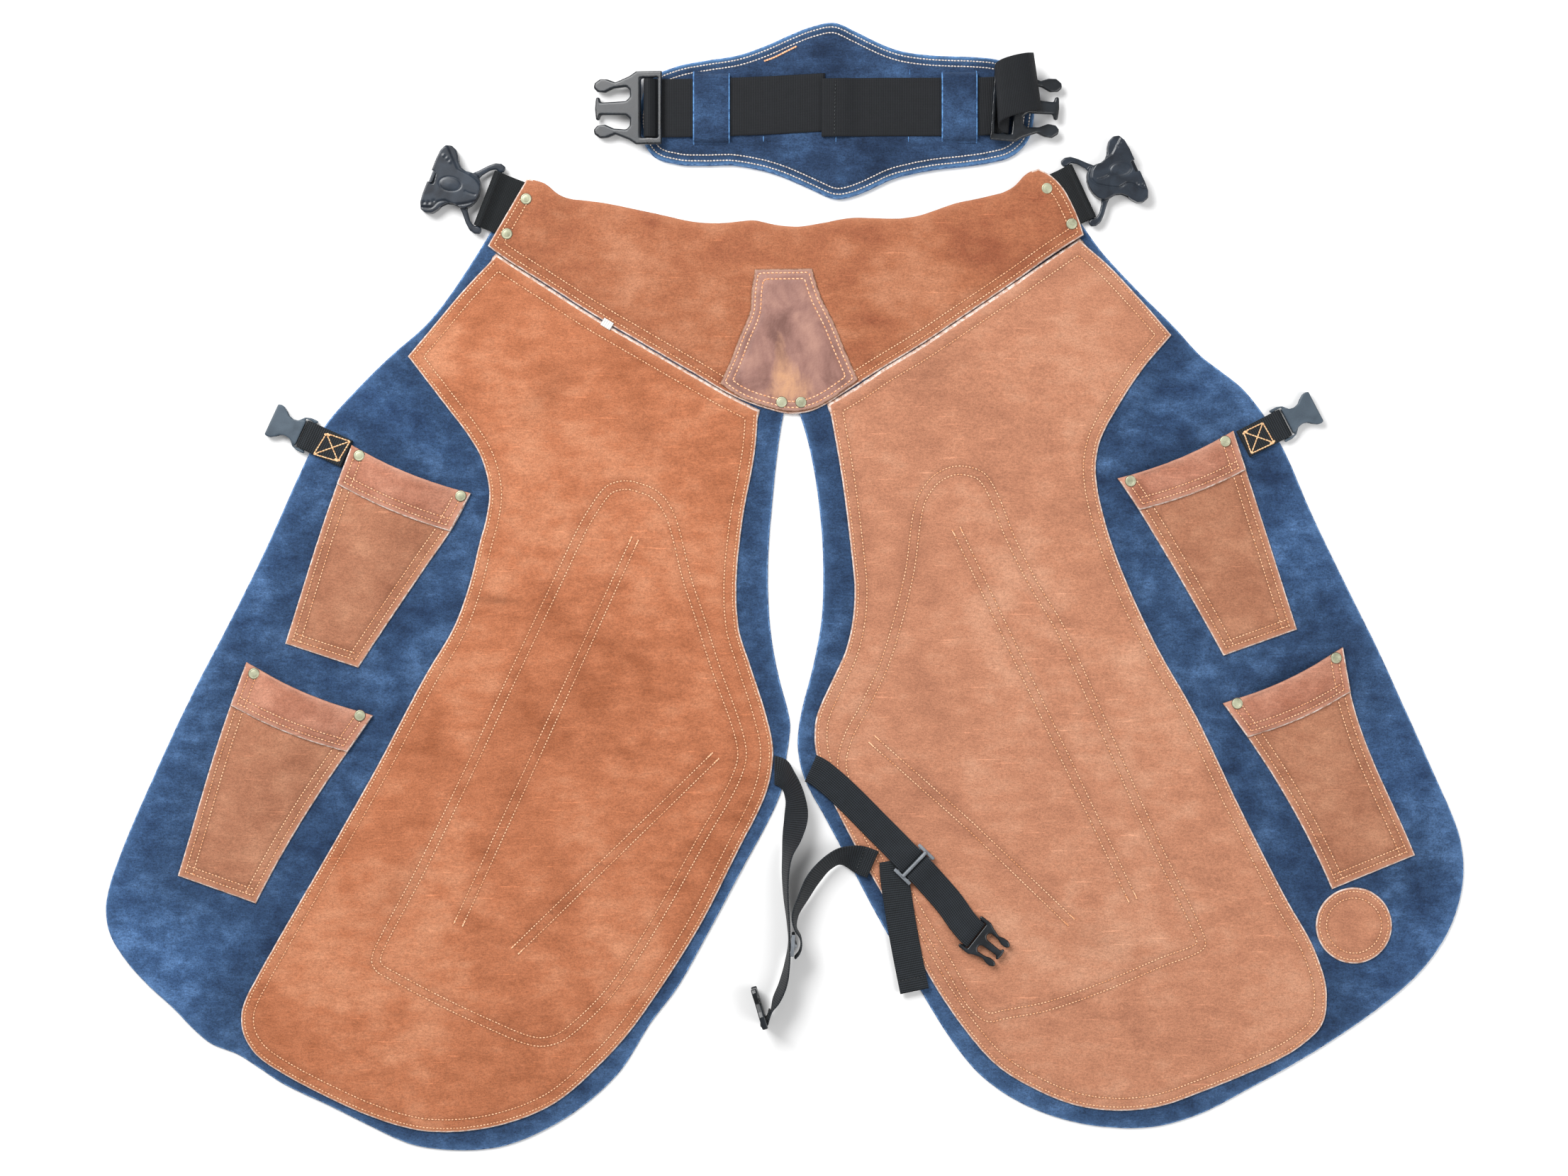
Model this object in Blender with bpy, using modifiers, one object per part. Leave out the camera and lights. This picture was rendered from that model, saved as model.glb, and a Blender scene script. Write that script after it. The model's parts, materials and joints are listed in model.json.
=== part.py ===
"""Farrier apron laid out flat with its own back-pad belt. Sizes are in millimetres, +Y runs to the waist."""
import math

import bmesh
import bpy
from mathutils import Matrix, Vector
from mathutils.geometry import delaunay_2d_cdt

MM = 0.001
GAP = 0.3                  # air between pieces that touch on the real apron
LEATHER = 1.8              # thickness of the suede and of the oiled leather
WEBBING = 1.5              # thickness of the woven straps
FIRST_LAYER = LEATHER + GAP
SECOND_LAYER = 2 * FIRST_LAYER
WAIST_WEBBING_WIDTH = 50.0
LEG_WEBBING_WIDTH = 25.0
CURVE_TURN = math.radians(9)   # largest turn between neighbouring points of a curved edge

FINISHES = {
    # name: colour, roughness, metallic
    "navy_suede": ((0.035, 0.075, 0.165), 0.9, 0.0),
    "orange_suede": ((0.53, 0.205, 0.095), 0.9, 0.0),
    "oiled_leather": ((0.37, 0.19, 0.135), 0.55, 0.0),
    "black_webbing": ((0.018, 0.02, 0.023), 0.8, 0.0),
    "slate_plastic": ((0.06, 0.08, 0.105), 0.45, 0.0),
    "black_plastic": ((0.015, 0.016, 0.018), 0.4, 0.0),
    "grey_plastic": ((0.2, 0.21, 0.24), 0.4, 0.0),
    "brass_plate": ((0.62, 0.62, 0.45), 0.3, 1.0),
    "white_ribbon": ((0.85, 0.85, 0.85), 0.8, 0.0),
}

# Outlines: each stretch is a smooth line through its points (x, y); stretches meet at sharp corners.
LEG_PANEL_LEFT = {
    "hidden under the waistband": ((-250, 309), (-16, 175), (2, 165)),
    "inside of the leg, hem and outside": (
        (2, 165), (-3.8, 133.5), (-10.4, 77), (-14.6, 11), (-12.2, -38.7), (-3.1, -86), (4.6, -118.6),
        (1.8, -144), (-2.4, -173.5), (-13.4, -200), (-34.2, -238), (-69.5, -304), (-92, -344),
        (-117.7, -378.7), (-140.3, -415), (-169, -443), (-207.4, -467.6), (-245.8, -482),
        (-281, -484.7), (-320, -479.8), (-355, -464.5), (-390.4, -446.8), (-435.5, -425),
        (-472, -401.5), (-491.7, -393.8), (-525, -363.3), (-565.5, -323), (-581.3, -296),
        (-583.8, -276.6), (-573.4, -236.4), (-543, -164.4), (-502.6, -79), (-486.8, -49),
        (-445.3, 34), (-419.4, 91.8), (-394, 140), (-371.5, 165.6), (-339, 198), (-306.8, 226.6),
        (-271.5, 274.8), (-250, 309)),
}
LEG_PANEL_RIGHT = {
    "hidden under the waistband": ((7.4, 165), (26, 177), (255, 312)),
    "outside, hem and inside of the leg": (
        (255, 312), (269, 292.3), (302, 255.9), (335, 223), (360, 196.4), (391.3, 172.3),
        (408, 152.8), (429.4, 116.8), (450.8, 67.4), (487.4, -8.8), (507, -48), (530, -98),
        (563, -171.7), (581, -218), (583.8, -241.3), (574.6, -287.6), (550, -327.3),
        (513.6, -360.2), (457.5, -398.6), (397.7, -432.5), (358, -453), (322, -463.9),
        (279, -465), (239, -457.8), (199.5, -442), (166.5, -418.2), (141.5, -387), (109.8, -335),
        (80.5, -284.6), (54, -234.5), (31, -191.8), (16, -162), (11.2, -135), (14.3, -109),
        (24.4, -69.2), (31.7, -29.6), (33.2, 5), (28.7, 77.8), (19.5, 127), (7.4, 165)),
}
LEG_PATCH_LEFT = {
    "waist seam": (
        (-247.7, 284.6), (-205.6, 257.4), (-164, 230.8), (-123, 206.8), (-82.4, 183.2), (-42, 160.4),
        (-22.7, 151)),
    "inside of the leg, hem and outside": (
        (-22.7, 151), (-25, 121), (-36.7, 53.4), (-41.5, -1), (-39, -37.5), (-29.3, -68.3),
        (-17, -106.4), (-9.8, -141.8), (-14.2, -172.3), (-35.7, -218.7), (-74.4, -294.3),
        (-108, -347.4), (-137, -387.4), (-166, -418), (-198, -444.4), (-236.4, -460.8),
        (-275, -468.2), (-313.5, -467.6), (-349, -458), (-403, -434), (-435.5, -416.3),
        (-456.3, -400.5), (-466.7, -379.4), (-466.7, -365), (-454.7, -337.6), (-421, -278.3),
        (-390.4, -225.4), (-350.4, -154.6), (-308.7, -76), (-283, -31.7), (-262.3, 37.5),
        (-254, 82.3), (-260.5, 109.5), (-289.4, 152.8), (-323.9, 197.9)),
    "flank": ((-323.9, 197.9), (-300.7, 225.4), (-275, 256), (-247.7, 284.6)),
}
LEG_PATCH_RIGHT = {
    "waist seam": (
        (38.1, 156.4), (62.6, 170.9), (81, 183.4), (116.8, 205.2), (156.5, 231.8), (196.2, 258.6),
        (235.9, 286.4), (253, 298)),
    "flank": ((253, 298), (278.8, 275.7), (302, 251), (318.4, 232.7), (332.5, 216.2)),
    "outside, hem and inside of the leg": (
        (332.5, 216.2), (308.7, 188.2), (283.7, 150), (270.6, 123.5), (267.4, 102), (272.9, 65.6),
        (292.2, 8), (321.8, -55), (350.8, -105.8), (391.3, -190), (431, -268), (455.7, -312.6),
        (466, -350.4), (462.4, -375.5), (441, -396.8), (404.4, -415.7), (358, -434.6),
        (321.8, -447), (285.5, -450.5), (249, -445.6), (216, -432.5), (183, -412.4),
        (158, -385.2), (136.6, -355.3), (102.5, -296.2), (59.8, -221.7), (35.4, -171),
        (25.9, -135.7), (26.6, -115), (39, -84.5), (54, -49.7), (60, -1.5), (57.3, 27.8),
        (49, 93.6), (38.1, 156.4)),
}
WAISTBAND = {
    "left end": ((-221.2, 350.2), (-228, 338.7), (-234.7, 327.2), (-241.5, 315.6), (-248.2, 304.1),
                 (-255, 292.6)),
    "left seam": ((-255, 292.6), (-247.7, 287), (-205.6, 260), (-164, 233.4), (-123, 209.4), (-82.4, 185.8),
                  (-42, 162.8), (-11.3, 151.6), (6, 148.4), (23.4, 151), (50.3, 166.2), (81, 186),
                  (116.8, 207.8), (156.5, 234.4), (196.2, 261.2), (235.9, 289), (256.8, 302)),
    "right end": ((256.8, 302), (251.9, 317), (227.8, 353.4), (218, 358.5)),
    "top edge": ((218, 358.5), (209, 355.2), (196.2, 343), (169.6, 334.4), (143.4, 328.5),
                 (116.8, 319.3), (100, 316.6), (57.3, 317), (31, 312.4), (12, 309.6), (-8.5, 311.2),
                 (-26, 314.9), (-50, 312.8), (-69.5, 312.8), (-114.4, 321.5), (-162.6, 330.9),
                 (-194.6, 337), (-205.9, 346), (-221.2, 350.2)),
}
CROTCH_PATCH = {
    "top": ((-25.6, 272.5), (23.4, 273.2)),
    "right": ((23.4, 273.2), (30.3, 251.3), (42.6, 225.8), (50.3, 206.6), (63, 177.5)),
    "foot": ((63, 177.5), (50.3, 168.2), (23.4, 153), (6, 150.2), (-11.3, 153.4), (-42, 164.8),
             (-55.3, 174.4)),
    "left": ((-55.3, 174.4), (-46.8, 193.5), (-36.8, 218.9), (-29.5, 237.4), (-28.6, 252), (-25.6, 272.5)),
}
BACK_PAD = (
    (42, 484.7), (65, 475), (100, 460.2), (130.5, 456.3), (165, 455), (190, 451), (208, 439),
    (214.5, 407), (209, 383.4), (196, 370.3), (174, 363.8), (130.5, 358.4), (91, 349.6),
    (65, 337.6), (45, 333), (21.4, 342), (-13.4, 356), (-44, 362), (-90, 362.6), (-112, 369.4),
    (-124, 390), (-124.4, 412), (-115, 436.5), (-92, 447.2), (-40, 456.6), (-13.4, 466), (20, 480.2))

POCKETS = {
    # name: mouth corners, cuff's lower corners and foot corners (outer side first), inner side's waist
    "upper_left": ((-372.1, 121.7), (-269.6, 80.2), (-384.9, 88.1), (-287.3, 47.3),
                   (-429.4, -49.1), (-366.6, -69.8), 0.5),
    "lower_left": ((-462.4, -65.0), (-353.8, -110.7), (-476.4, -102.2), (-375.8, -142.4),
                   (-521.6, -248.6), (-454.5, -272.4), 3.0),
    "upper_right": ((385.5, 133.9), (286.1, 93.0), (396.5, 100.3), (304.4, 65.6),
                    (440.4, -36.9), (377.0, -59.5), 1.0),
    "lower_right": ((479.5, -52.2), (376.4, -100.3), (486.2, -90.6), (397.7, -129.6),
                    (541.7, -230.9), (470.3, -260.2), 4.0),
}
POCKET_HEM = 0.14          # sewn border beside the crown, as a share of the pocket's width
POCKET_CROWN = 10.0        # how far the front stands off the leg at the mouth
MOUTH_SAG = 4.0
CUFF_SAG = 3.0
POCKET_RIVETS = {
    # name: centre x, y
    "upper_left_outer": (-365.4, 112.5), "upper_left_inner": (-278.2, 77.8),
    "lower_left_outer": (-455.7, -74.7), "lower_left_inner": (-364.8, -110.7),
    "upper_right_outer": (378.2, 124.7), "upper_right_inner": (297.1, 90.6),
    "lower_right_outer": (473.4, -61.3), "lower_right_inner": (388.6, -100.3),
}
WAIST_RIVETS = {
    # name: centre x, y
    "left_upper": (-222.0, 332.8), "left_lower": (-238.5, 302.9),
    "right_upper": (225.1, 341.9), "right_lower": (246.4, 311.4),
}
CROTCH_RIVETS = {
    # name: centre x, y
    "crotch_left": (-2.6, 158.4), "crotch_right": (14.0, 158.3),
}
RIVET_RADIUS = 4.6
RIVET_HEIGHT = 1.7
ROUND_PATCH_CENTRE = (489.2, -291.3)
ROUND_PATCH_RADIUS = 32.7

BAND_DROP_START = 8.0      # the band settles to the floor between these distances from its top edge
BAND_DROP_END = 34.0
BAND_RISE = 3 * GAP + 2 * WEBBING + LEATHER    # underside over the two plies of waist webbing
BAND_PLATEAU_MARGIN = 10.0
BAND_RAMP = 10.0

PAD_BORDER = 11.0
PAD_SLOPE = 8.0
PAD_FLANGE = 4.5
PAD_CROWN = 9.0

WAIST_BUCKLES = {
    # side: bar's centre x, y, heading of the body, webbing behind the bar
    "left": (-253.8, 332.5, 158.7, 43.0),
    "right": (252.9, 338.4, 25.0, 39.0),
}
WAIST_BUCKLE_HEIGHT = 13.0
WAIST_BAR_RADIUS = 2.0
# half outlines of the buckles: (u along the body, v across), bar at u = 0
WAIST_BODY = ((9, 0), (9.8, 6), (12, 11), (16, 15.2), (22, 15.6), (27, 15), (32, 16.6), (35.5, 20),
              (37.5, 24.5), (41, 29), (46, 31), (51, 29.5), (53.6, 24), (54.4, 16), (54.4, 0))
WAIST_ARMS = ((16, 0), (15.5, 10), (13.2, 16.5), (8.5, 22.8), (4.4, 25.8), (-3, 25.8), (-4, 28.5),
              (-3, 31), (1, 32.2), (6, 30.8), (11, 26.4), (17, 19.5), (24, 13), (24, 0))
WAIST_SOCKET = (21.0, 56.0, 21.0, 3.7)         # from, to, half width, half height
WAIST_WINDOW = (25.0, 36.5, 9.0, 36.0)         # from, to, inner and outer edge
WAIST_NOTCH = (50.5, 56.0, 5.0)                # from, to, half width, through the upper wall

THIGH_BUCKLES = {
    # side: bar's centre x, y, heading of the body, webbing behind the bar
    "left": (-409.2, 129.2, 155.2, 36.3),
    "right": (425.4, 138.7, 27.5, 35.6),
}
THIGH_BUCKLE_HEIGHT = 8.0
THIGH_BAR_RADIUS = 1.5
THIGH_BODY = ((7, 0), (7, 11.5), (10, 10.6), (14, 8.6), (18, 7.9), (22, 9), (25.5, 12), (29, 14.4), (32, 15),
              (34.6, 14.2), (34.6, 0))
THIGH_ARMS = ((10, 0), (8, 12.9), (-2.2, 13.1), (-2.8, 14.2), (-2.2, 15.3), (4, 15.3), (9, 13.6),
              (14, 8), (14, 0))
THIGH_SOCKET = (13.0, 36.0, 11.6, 2.6)

CLIP_BASE = ((4.2, 0), (4.2, 13.3), (-3.4, 13.3), (-4, 15), (-3.2, 16.5), (7, 16.5), (11, 14.4), (19, 11.8),
             (23.5, 13.2), (28, 13.4), (31.2, 11.6), (31.8, 9.4), (29.6, 7.6), (25, 7.2), (20, 9), (12.6, 9.6),
             (10.6, 8), (10.4, 5), (13, 3.2), (27.6, 2.8), (28.4, 5.2), (30.4, 5.2), (31, 0))
CLIP_THICKNESS = 5.0
CLIP_BAR_RADIUS = 1.5
LEG_CLIP_RIGHT = (161.6, -297.5, 8.4, -38.0)   # bar's centre x, y, z and heading
LEG_CLIP_LEFT = (-17.5, -373.5, 16.7, 107.0)
STANDING_CENTRE = 16.7                          # middle of what stands on its edge

BELT_CLIPS = {
    # side: bar's centre x, y, z, heading, tilt of the prongs to the floor
    "left": (-117.0, 410.2, 12.9, 180.0, 10.0),
    "right": (189.5, 413.0, 14.6, -4.0, 8.0),
}
BELT_CLIP_STRETCH = (1.5, 1.9)                 # the 50 mm clip against the 25 mm one, along and across
BELT_RAIL = (-12.0, -9.0)                      # the rear rail holds the plies down

TRIGLIDES = {
    # side: centre x, y, z, heading, standing on edge
    "right": (111.2, -238.3, 8.0, -44.0, False),
    "left": (6.9, -306.0, STANDING_CENTRE, -94.0, True),
}
TRIGLIDE_LENGTH = 18.5
TRIGLIDE_WIDTH = 32.5
TRIGLIDE_THICKNESS = 3.2
TRIGLIDE_BAR_RADIUS = 1.7

# Straps: each row is x, y, z of the middle of the webbing, its heading and its lean (90 stands on edge).
LEG_STRAP_RIGHT = (
    (22.3, -156, 5.0, -24, 0), (28, -158.8, 5.0, -34, 0), (38, -166.4, 5.0, -40, 0),
    (57, -183.8, 5.0, -43, 0), (77.6, -204.6, 5.2, -44, 0), (96, -223, 7.2, -44, 0),
    (106.2, -233.4, 9.75, -44, 0), (107.5, -234.7, 9.3, -44, 0), (111.2, -238.3, 7.2, -44, 0),
    (114.9, -241.9, 9.3, -44, 0), (116.2, -243.2, 9.75, -44, 0), (126, -254, 7.4, -46, 0),
    (142, -272.5, 6.9, -51, 0), (153.5, -288.5, 9.7, -47, 0), (161.6, -297.5, 11.05, -38, 0),
    (163.1, -298.65, 10.27, -38, 0), (163.7, -299.15, 8.4, -38, 0), (163.1, -298.65, 6.53, -38, 0),
    (161.6, -297.5, 5.8, -38, 0), (158.5, -294.3, 5.3, -41, 0), (150, -284.5, 4.98, -50, 0))
STRAP_TAIL_RIGHT = (
    (93.5, -235, 5.0, -80, 0), (94.5, -250, 5.0, -85, 0), (97, -268, 5.0, -83, 0), (101, -293, 5.0, -80, 0),
    (106, -320, 5.0, -78.5, 0), (111.5, -347.3, 5.0, -78, 0))
LEG_STRAP_LEFT = (
    (-8.6, -157.9, 2.95, 0, 0), (-3, -159.6, 5.1, -12, 10), (3.1, -166.4, 10.8, -30, 40),
    (8.4, -179, 12.2, -66, 48), (9.8, -197, 11.8, -88, 37), (6.4, -214.5, 13, -97, 50),
    (2.4, -229, 14.8, -98, 70), (0.6, -247, 16.5, -92, 84), (0.4, -267, STANDING_CENTRE, -88, 90),
    (1.6, -288, STANDING_CENTRE, -86, 90), (3, -306, STANDING_CENTRE, -90, 90),
    (2, -322, STANDING_CENTRE, -98, 90), (-2, -342, STANDING_CENTRE, -106, 90),
    (-7.9, -355.5, STANDING_CENTRE, -112, 90), (-11.3, -363, STANDING_CENTRE, -109, 90),
    (-13.6, -369.7, STANDING_CENTRE, -107, 90), (-14.9, -373.9, STANDING_CENTRE, -105, 90),
    (-16.35, -375.9, STANDING_CENTRE, -105, 90), (-18.4, -376, STANDING_CENTRE, -105, 90),
    (-19.9, -374.65, STANDING_CENTRE, -105, 90), (-20, -372.6, STANDING_CENTRE, -105, 90),
    (-18.9, -371.2, STANDING_CENTRE, -105, 90), (-15.35, -369.1, STANDING_CENTRE, -105, 90),
    (-13, -362.4, STANDING_CENTRE, -107, 90))
STRAP_TAIL_LEFT = (
    (9.6, -315, STANDING_CENTRE, 50, 90), (11.6, -311, STANDING_CENTRE, 70, 90),
    (12.4, -305, STANDING_CENTRE, 95, 90), (11.3, -298.5, STANDING_CENTRE, 108, 90),
    (8.9, -291.5, STANDING_CENTRE, 100, 88), (9.6, -282, 16.4, 78, 80),
    (16, -266, 15.4, 65, 68), (25.5, -249, 14.6, 55, 60), (36, -237.5, 13.8, 36, 60),
    (46, -231.6, 12.2, 12, 54), (56, -231.8, 9.4, -10, 36), (65, -234.5, 7.0, -20, 10),
    (75.5, -238.6, 5.1, -24, 0))
BELT_LEFT_ROUTE = (
    (34.5, 415.4, 10.1, 180, 0), (-20, 412.4, 10.1, 180, 0), (-60, 411, 10.1, 180, 0),
    (-98, 410.3, 10.4, 180, 0), (-107, 410.2, 10.5, 180, 0), (-112.6, 410.2, 14.4, 180, 0),
    (-117, 410.2, 16.05, 180, 0), (-119.3, 410.2, 15.1, 180, 0), (-120.15, 410.2, 12.9, 180, 0),
    (-119.3, 410.2, 10.7, 180, 0), (-117, 410.2, 9.75, 180, 0), (-110, 410.2, 8.6, 180, 0))
BELT_RIGHT_ROUTE = (
    (31.5, 410.6, 11.9, 0, 0), (52, 410.9, 11.9, 0, 0), (62, 411, 10.4, 0, 0), (80, 411.2, 10.1, 0, 0),
    (133, 411.4, 10.1, 0, 0), (170, 411.8, 10.2, -2, 0), (182, 412.5, 11.0, -4, 0),
    (189.5, 413, 11.45, -4, 0), (191.8, 412.9, 12.4, -4, 0), (192.65, 412.8, 14.6, -4, 0),
    (191.8, 412.9, 16.8, -4, 0), (189.5, 413.2, 17.75, -4, 0), (184.5, 414.5, 19.0, -3, 0),
    (180, 416.5, 20.4, 0, 0), (175.2, 418.6, 20.8, 4, 0), (172.8, 419.6, 21.8, 7, 0),
    (172.4, 420, 23, 9, 0), (174, 420.7, 24.2, 10, 0), (180, 422.2, 24.6, 12, 0), (190, 424.8, 24.2, 14, 0),
    (202, 428, 23.7, 16, 0), (211, 430.5, 21.6, 17, 0), (216, 431.8, 16.5, 17, 0))
KEEPERS = {
    # name: lower x, upper x, middle y
    "belt_keeper_left": (-78.7, -47.0, 410.7),
    "belt_keeper_right": (134.5, 165.3, 411.9),
}
SIZE_LABEL = (-152.6, 225.6, 9.5, 7.0, -31.0)  # centre x, y, length, width and turn
SIZE_LABEL_THICKNESS = 1.0

PARTS = "farrier_apron"
CUTTERS = "cutters"


def clear_scene():
    for obj in list(bpy.data.objects):
        bpy.data.objects.remove(obj, do_unlink=True)
    for name in (PARTS, CUTTERS):
        bpy.context.scene.collection.children.link(bpy.data.collections.new(name))


def finish(name):
    """The material of one finish, made once."""
    found = bpy.data.materials.get(name)
    if found:
        return found
    colour, roughness, metallic = FINISHES[name]
    material = bpy.data.materials.new(name)
    material.use_nodes = True
    shader = material.node_tree.nodes["Principled BSDF"]
    shader.inputs["Base Color"].default_value = (*colour, 1.0)
    shader.inputs["Roughness"].default_value = roughness
    shader.inputs["Metallic"].default_value = metallic
    return material


def add_part(name, bm, finish_name, place=(0, 0, 0), turn=0.0, tilt=0.0, roll=0.0):
    """A part from a mesh in millimetres; turn is about Z, tilt about the part's Y, roll about its X."""
    bmesh.ops.scale(bm, vec=(MM, MM, MM), verts=bm.verts)
    mesh = bpy.data.meshes.new(name)
    bm.to_mesh(mesh)
    bm.free()
    mesh.materials.append(finish(finish_name))
    part = bpy.data.objects.new(name, mesh)
    part.location = Vector(place) * MM
    part.rotation_euler = (Matrix.Rotation(math.radians(turn), 3, "Z")
                           @ Matrix.Rotation(math.radians(tilt), 3, "Y")
                           @ Matrix.Rotation(math.radians(roll), 3, "X")).to_euler()
    bpy.data.collections[PARTS].objects.link(part)
    return part


def smooth(points, closed=False):
    """Points along a smooth curve through the given ones, closer together where it turns.

    A row may carry turns in degrees after x, y and z; they are eased along with the place.
    """
    knots = [Vector(p) for p in points]
    count = len(knots)
    if count == 2 and not closed:
        return knots

    def place(row):
        return Vector(row[:3])

    def chord(i):
        return max(place(knots[(i + 1) % count] - knots[i % count]).length, 1e-6)

    def slope(i):
        if not closed and i == 0:
            return (knots[1] - knots[0]) / chord(0)
        if not closed and i == count - 1:
            return (knots[-1] - knots[-2]) / chord(count - 2)
        before, after = chord((i - 1) % count), chord(i)
        ahead = (knots[(i + 1) % count] - knots[i]) / after
        behind = (knots[i] - knots[i - 1]) / before
        return (ahead * before + behind * after) / (before + after)

    slopes = [slope(i) for i in range(count)]
    curve = []
    for i in range(count if closed else count - 1):
        a, b = knots[i], knots[(i + 1) % count]
        length = chord(i)
        leave, arrive = slopes[i] * length, slopes[(i + 1) % count] * length
        ahead = place(b - a)
        turn = max(place(leave).angle(place(arrive), 0.0),
                   place(leave).angle(ahead, 0.0) + place(arrive).angle(ahead, 0.0))
        twist = max([abs(degrees) for degrees in (b - a)[3:]], default=0.0)
        steps = max(1, math.ceil(turn / CURVE_TURN), math.ceil(twist / 12))
        for k in range(steps):
            t = k / steps
            curve.append(a * (2 * t**3 - 3 * t**2 + 1) + leave * (t**3 - 2 * t**2 + t)
                         + b * (3 * t**2 - 2 * t**3) + arrive * (t**3 - t**2))
    if not closed:
        curve.append(knots[-1])
    return curve


def outline_of(stretches):
    """The closed outline of a piece whose smooth stretches meet at corners."""
    outline = []
    for points in stretches.values():
        outline.extend(smooth(points)[:-1])
    return outline


def flat_plate(loops, thickness):
    """A flat piece from its outline, filled and extruded about z = 0, as a welded mesh."""
    curve = bpy.data.curves.new("outline", "CURVE")
    curve.dimensions = "2D"
    curve.fill_mode = "BOTH"
    curve.extrude = thickness / 2
    for loop in loops:
        spline = curve.splines.new("POLY")
        spline.points.add(len(loop) - 1)
        for point, corner in zip(spline.points, loop):
            point.co = (corner[0], corner[1], 0, 1)
        spline.use_cyclic_u = True
    holder = bpy.data.objects.new("outline", curve)
    bpy.context.scene.collection.objects.link(holder)
    bpy.context.view_layer.update()
    filled = bpy.data.meshes.new_from_object(holder.evaluated_get(bpy.context.evaluated_depsgraph_get()))
    bm = bmesh.new()
    bm.from_mesh(filled)
    bmesh.ops.remove_doubles(bm, verts=bm.verts, dist=0.001)
    bmesh.ops.recalc_face_normals(bm, faces=bm.faces)
    bpy.data.objects.remove(holder)
    bpy.data.curves.remove(curve)
    bpy.data.meshes.remove(filled)
    return bm


def leather_sheet(name, stretches, underside, finish_name):
    """A flat leather panel whose underside lies at one height."""
    bm = flat_plate([outline_of(stretches)], LEATHER)
    return add_part(name, bm, finish_name, (0, 0, underside + LEATHER / 2))


def distance_to(line, x, y):
    """Distance from a point to a line of many short stretches."""
    best = 1e9
    point = Vector((x, y))
    for a, b in zip(line, line[1:]):
        along = b - a
        t = max(0.0, min(1.0, (point - a).dot(along) / max(along.length_squared, 1e-9)))
        best = min(best, (a + along * t - point).length)
    return best


def inside(outline, x, y):
    hit = False
    for a, b in zip(outline, outline[1:] + outline[:1]):
        if (a.y > y) != (b.y > y) and x < a.x + (y - a.y) / (b.y - a.y) * (b.x - a.x):
            hit = not hit
    return hit


def lattice(outline, step_at, coarse, fine):
    """Points inside an outline: a fine square grid where step_at asks for it, a coarse one elsewhere."""
    ring = outline + outline[:1]
    low_x, high_x = min(p.x for p in outline), max(p.x for p in outline)
    low_y, high_y = min(p.y for p in outline), max(p.y for p in outline)
    ratio = round(coarse / fine)
    points = []
    for i in range(int((high_x - low_x) / fine) + 1):
        for j in range(int((high_y - low_y) / fine) + 1):
            x, y = low_x + i * fine, low_y + j * fine
            wanted = step_at(x, y)
            if wanted > fine and (i % ratio or j % ratio):
                continue
            if inside(outline, x, y) and distance_to(ring, x, y) > 0.45 * min(wanted, coarse):
                points.append(Vector((x, y)))
    return points


def filled_surface(outline, points, height):
    """An open surface over an outline and its inner points, each at its own height."""
    ring = list(range(len(outline)))
    found, _, faces, *_ = delaunay_2d_cdt(outline + points, [], [ring], 1, 1e-4)
    bm = bmesh.new()
    verts = [bm.verts.new((p.x, p.y, height(p.x, p.y))) for p in found]
    for face in faces:
        bm.faces.new([verts[i] for i in face])
    loose = [v for v in bm.verts if not v.link_faces]
    bmesh.ops.delete(bm, geom=loose, context="VERTS")
    bmesh.ops.recalc_face_normals(bm, faces=bm.faces)
    if sum(f.normal.z for f in bm.faces) < 0:
        bmesh.ops.reverse_faces(bm, faces=bm.faces)
    return bm


def raise_wall(bm, top):
    """Extrude an open surface upwards; top gives each new point's height from its old place."""
    lower = list(bm.faces)
    raised = bmesh.ops.extrude_face_region(bm, geom=lower, use_keep_orig=True)["geom"]
    for vert in raised:
        if isinstance(vert, bmesh.types.BMVert):
            vert.co.z = top(vert.co.x, vert.co.y, vert.co.z)
    bmesh.ops.reverse_faces(bm, faces=lower)
    bmesh.ops.recalc_face_normals(bm, faces=bm.faces)
    return bm


def clamp(value):
    return max(0.0, min(1.0, value))


def waistband_underside(x, y, top_edge):
    """Height of the band: on the legs' layer, down to the floor at its top edge, up over the webbing."""
    settle = clamp((distance_to(top_edge, x, y) - BAND_DROP_START) / (BAND_DROP_END - BAND_DROP_START))
    height = FIRST_LAYER * settle
    for centre_x, centre_y, heading, length in WAIST_BUCKLES.values():
        u = Vector((math.cos(math.radians(heading)), math.sin(math.radians(heading))))
        offset = Vector((x - centre_x, y - centre_y))
        beyond = max(abs(u.x * offset.y - u.y * offset.x) - WAIST_WEBBING_WIDTH / 2, -u.dot(offset) - length)
        rise = 1 - clamp((beyond - BAND_PLATEAU_MARGIN) / BAND_RAMP)
        height = max(height, height + (BAND_RISE - height) * rise)
    return height


def build_leather():
    leather_sheet("leg_panel_left", LEG_PANEL_LEFT, 0, "navy_suede")
    leather_sheet("leg_panel_right", LEG_PANEL_RIGHT, 0, "navy_suede")
    leather_sheet("leg_patch_left", LEG_PATCH_LEFT, FIRST_LAYER, "orange_suede")
    leather_sheet("leg_patch_right", LEG_PATCH_RIGHT, FIRST_LAYER, "orange_suede")
    leather_sheet("crotch_patch", CROTCH_PATCH, SECOND_LAYER, "oiled_leather")

    outline = outline_of(WAISTBAND)
    top_edge = smooth(WAISTBAND["top edge"])

    def underside(x, y):
        return waistband_underside(x, y, top_edge)

    def step_at(x, y):
        near_end = min(math.hypot(x - cx, y - cy) for cx, cy, *_ in WAIST_BUCKLES.values())
        return 7 if near_end < 68 else 21

    inner = lattice(outline, step_at, 21, 7)
    band = raise_wall(filled_surface(outline, inner, underside), lambda x, y, z: z + LEATHER)
    add_part("waistband", band, "orange_suede")


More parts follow.
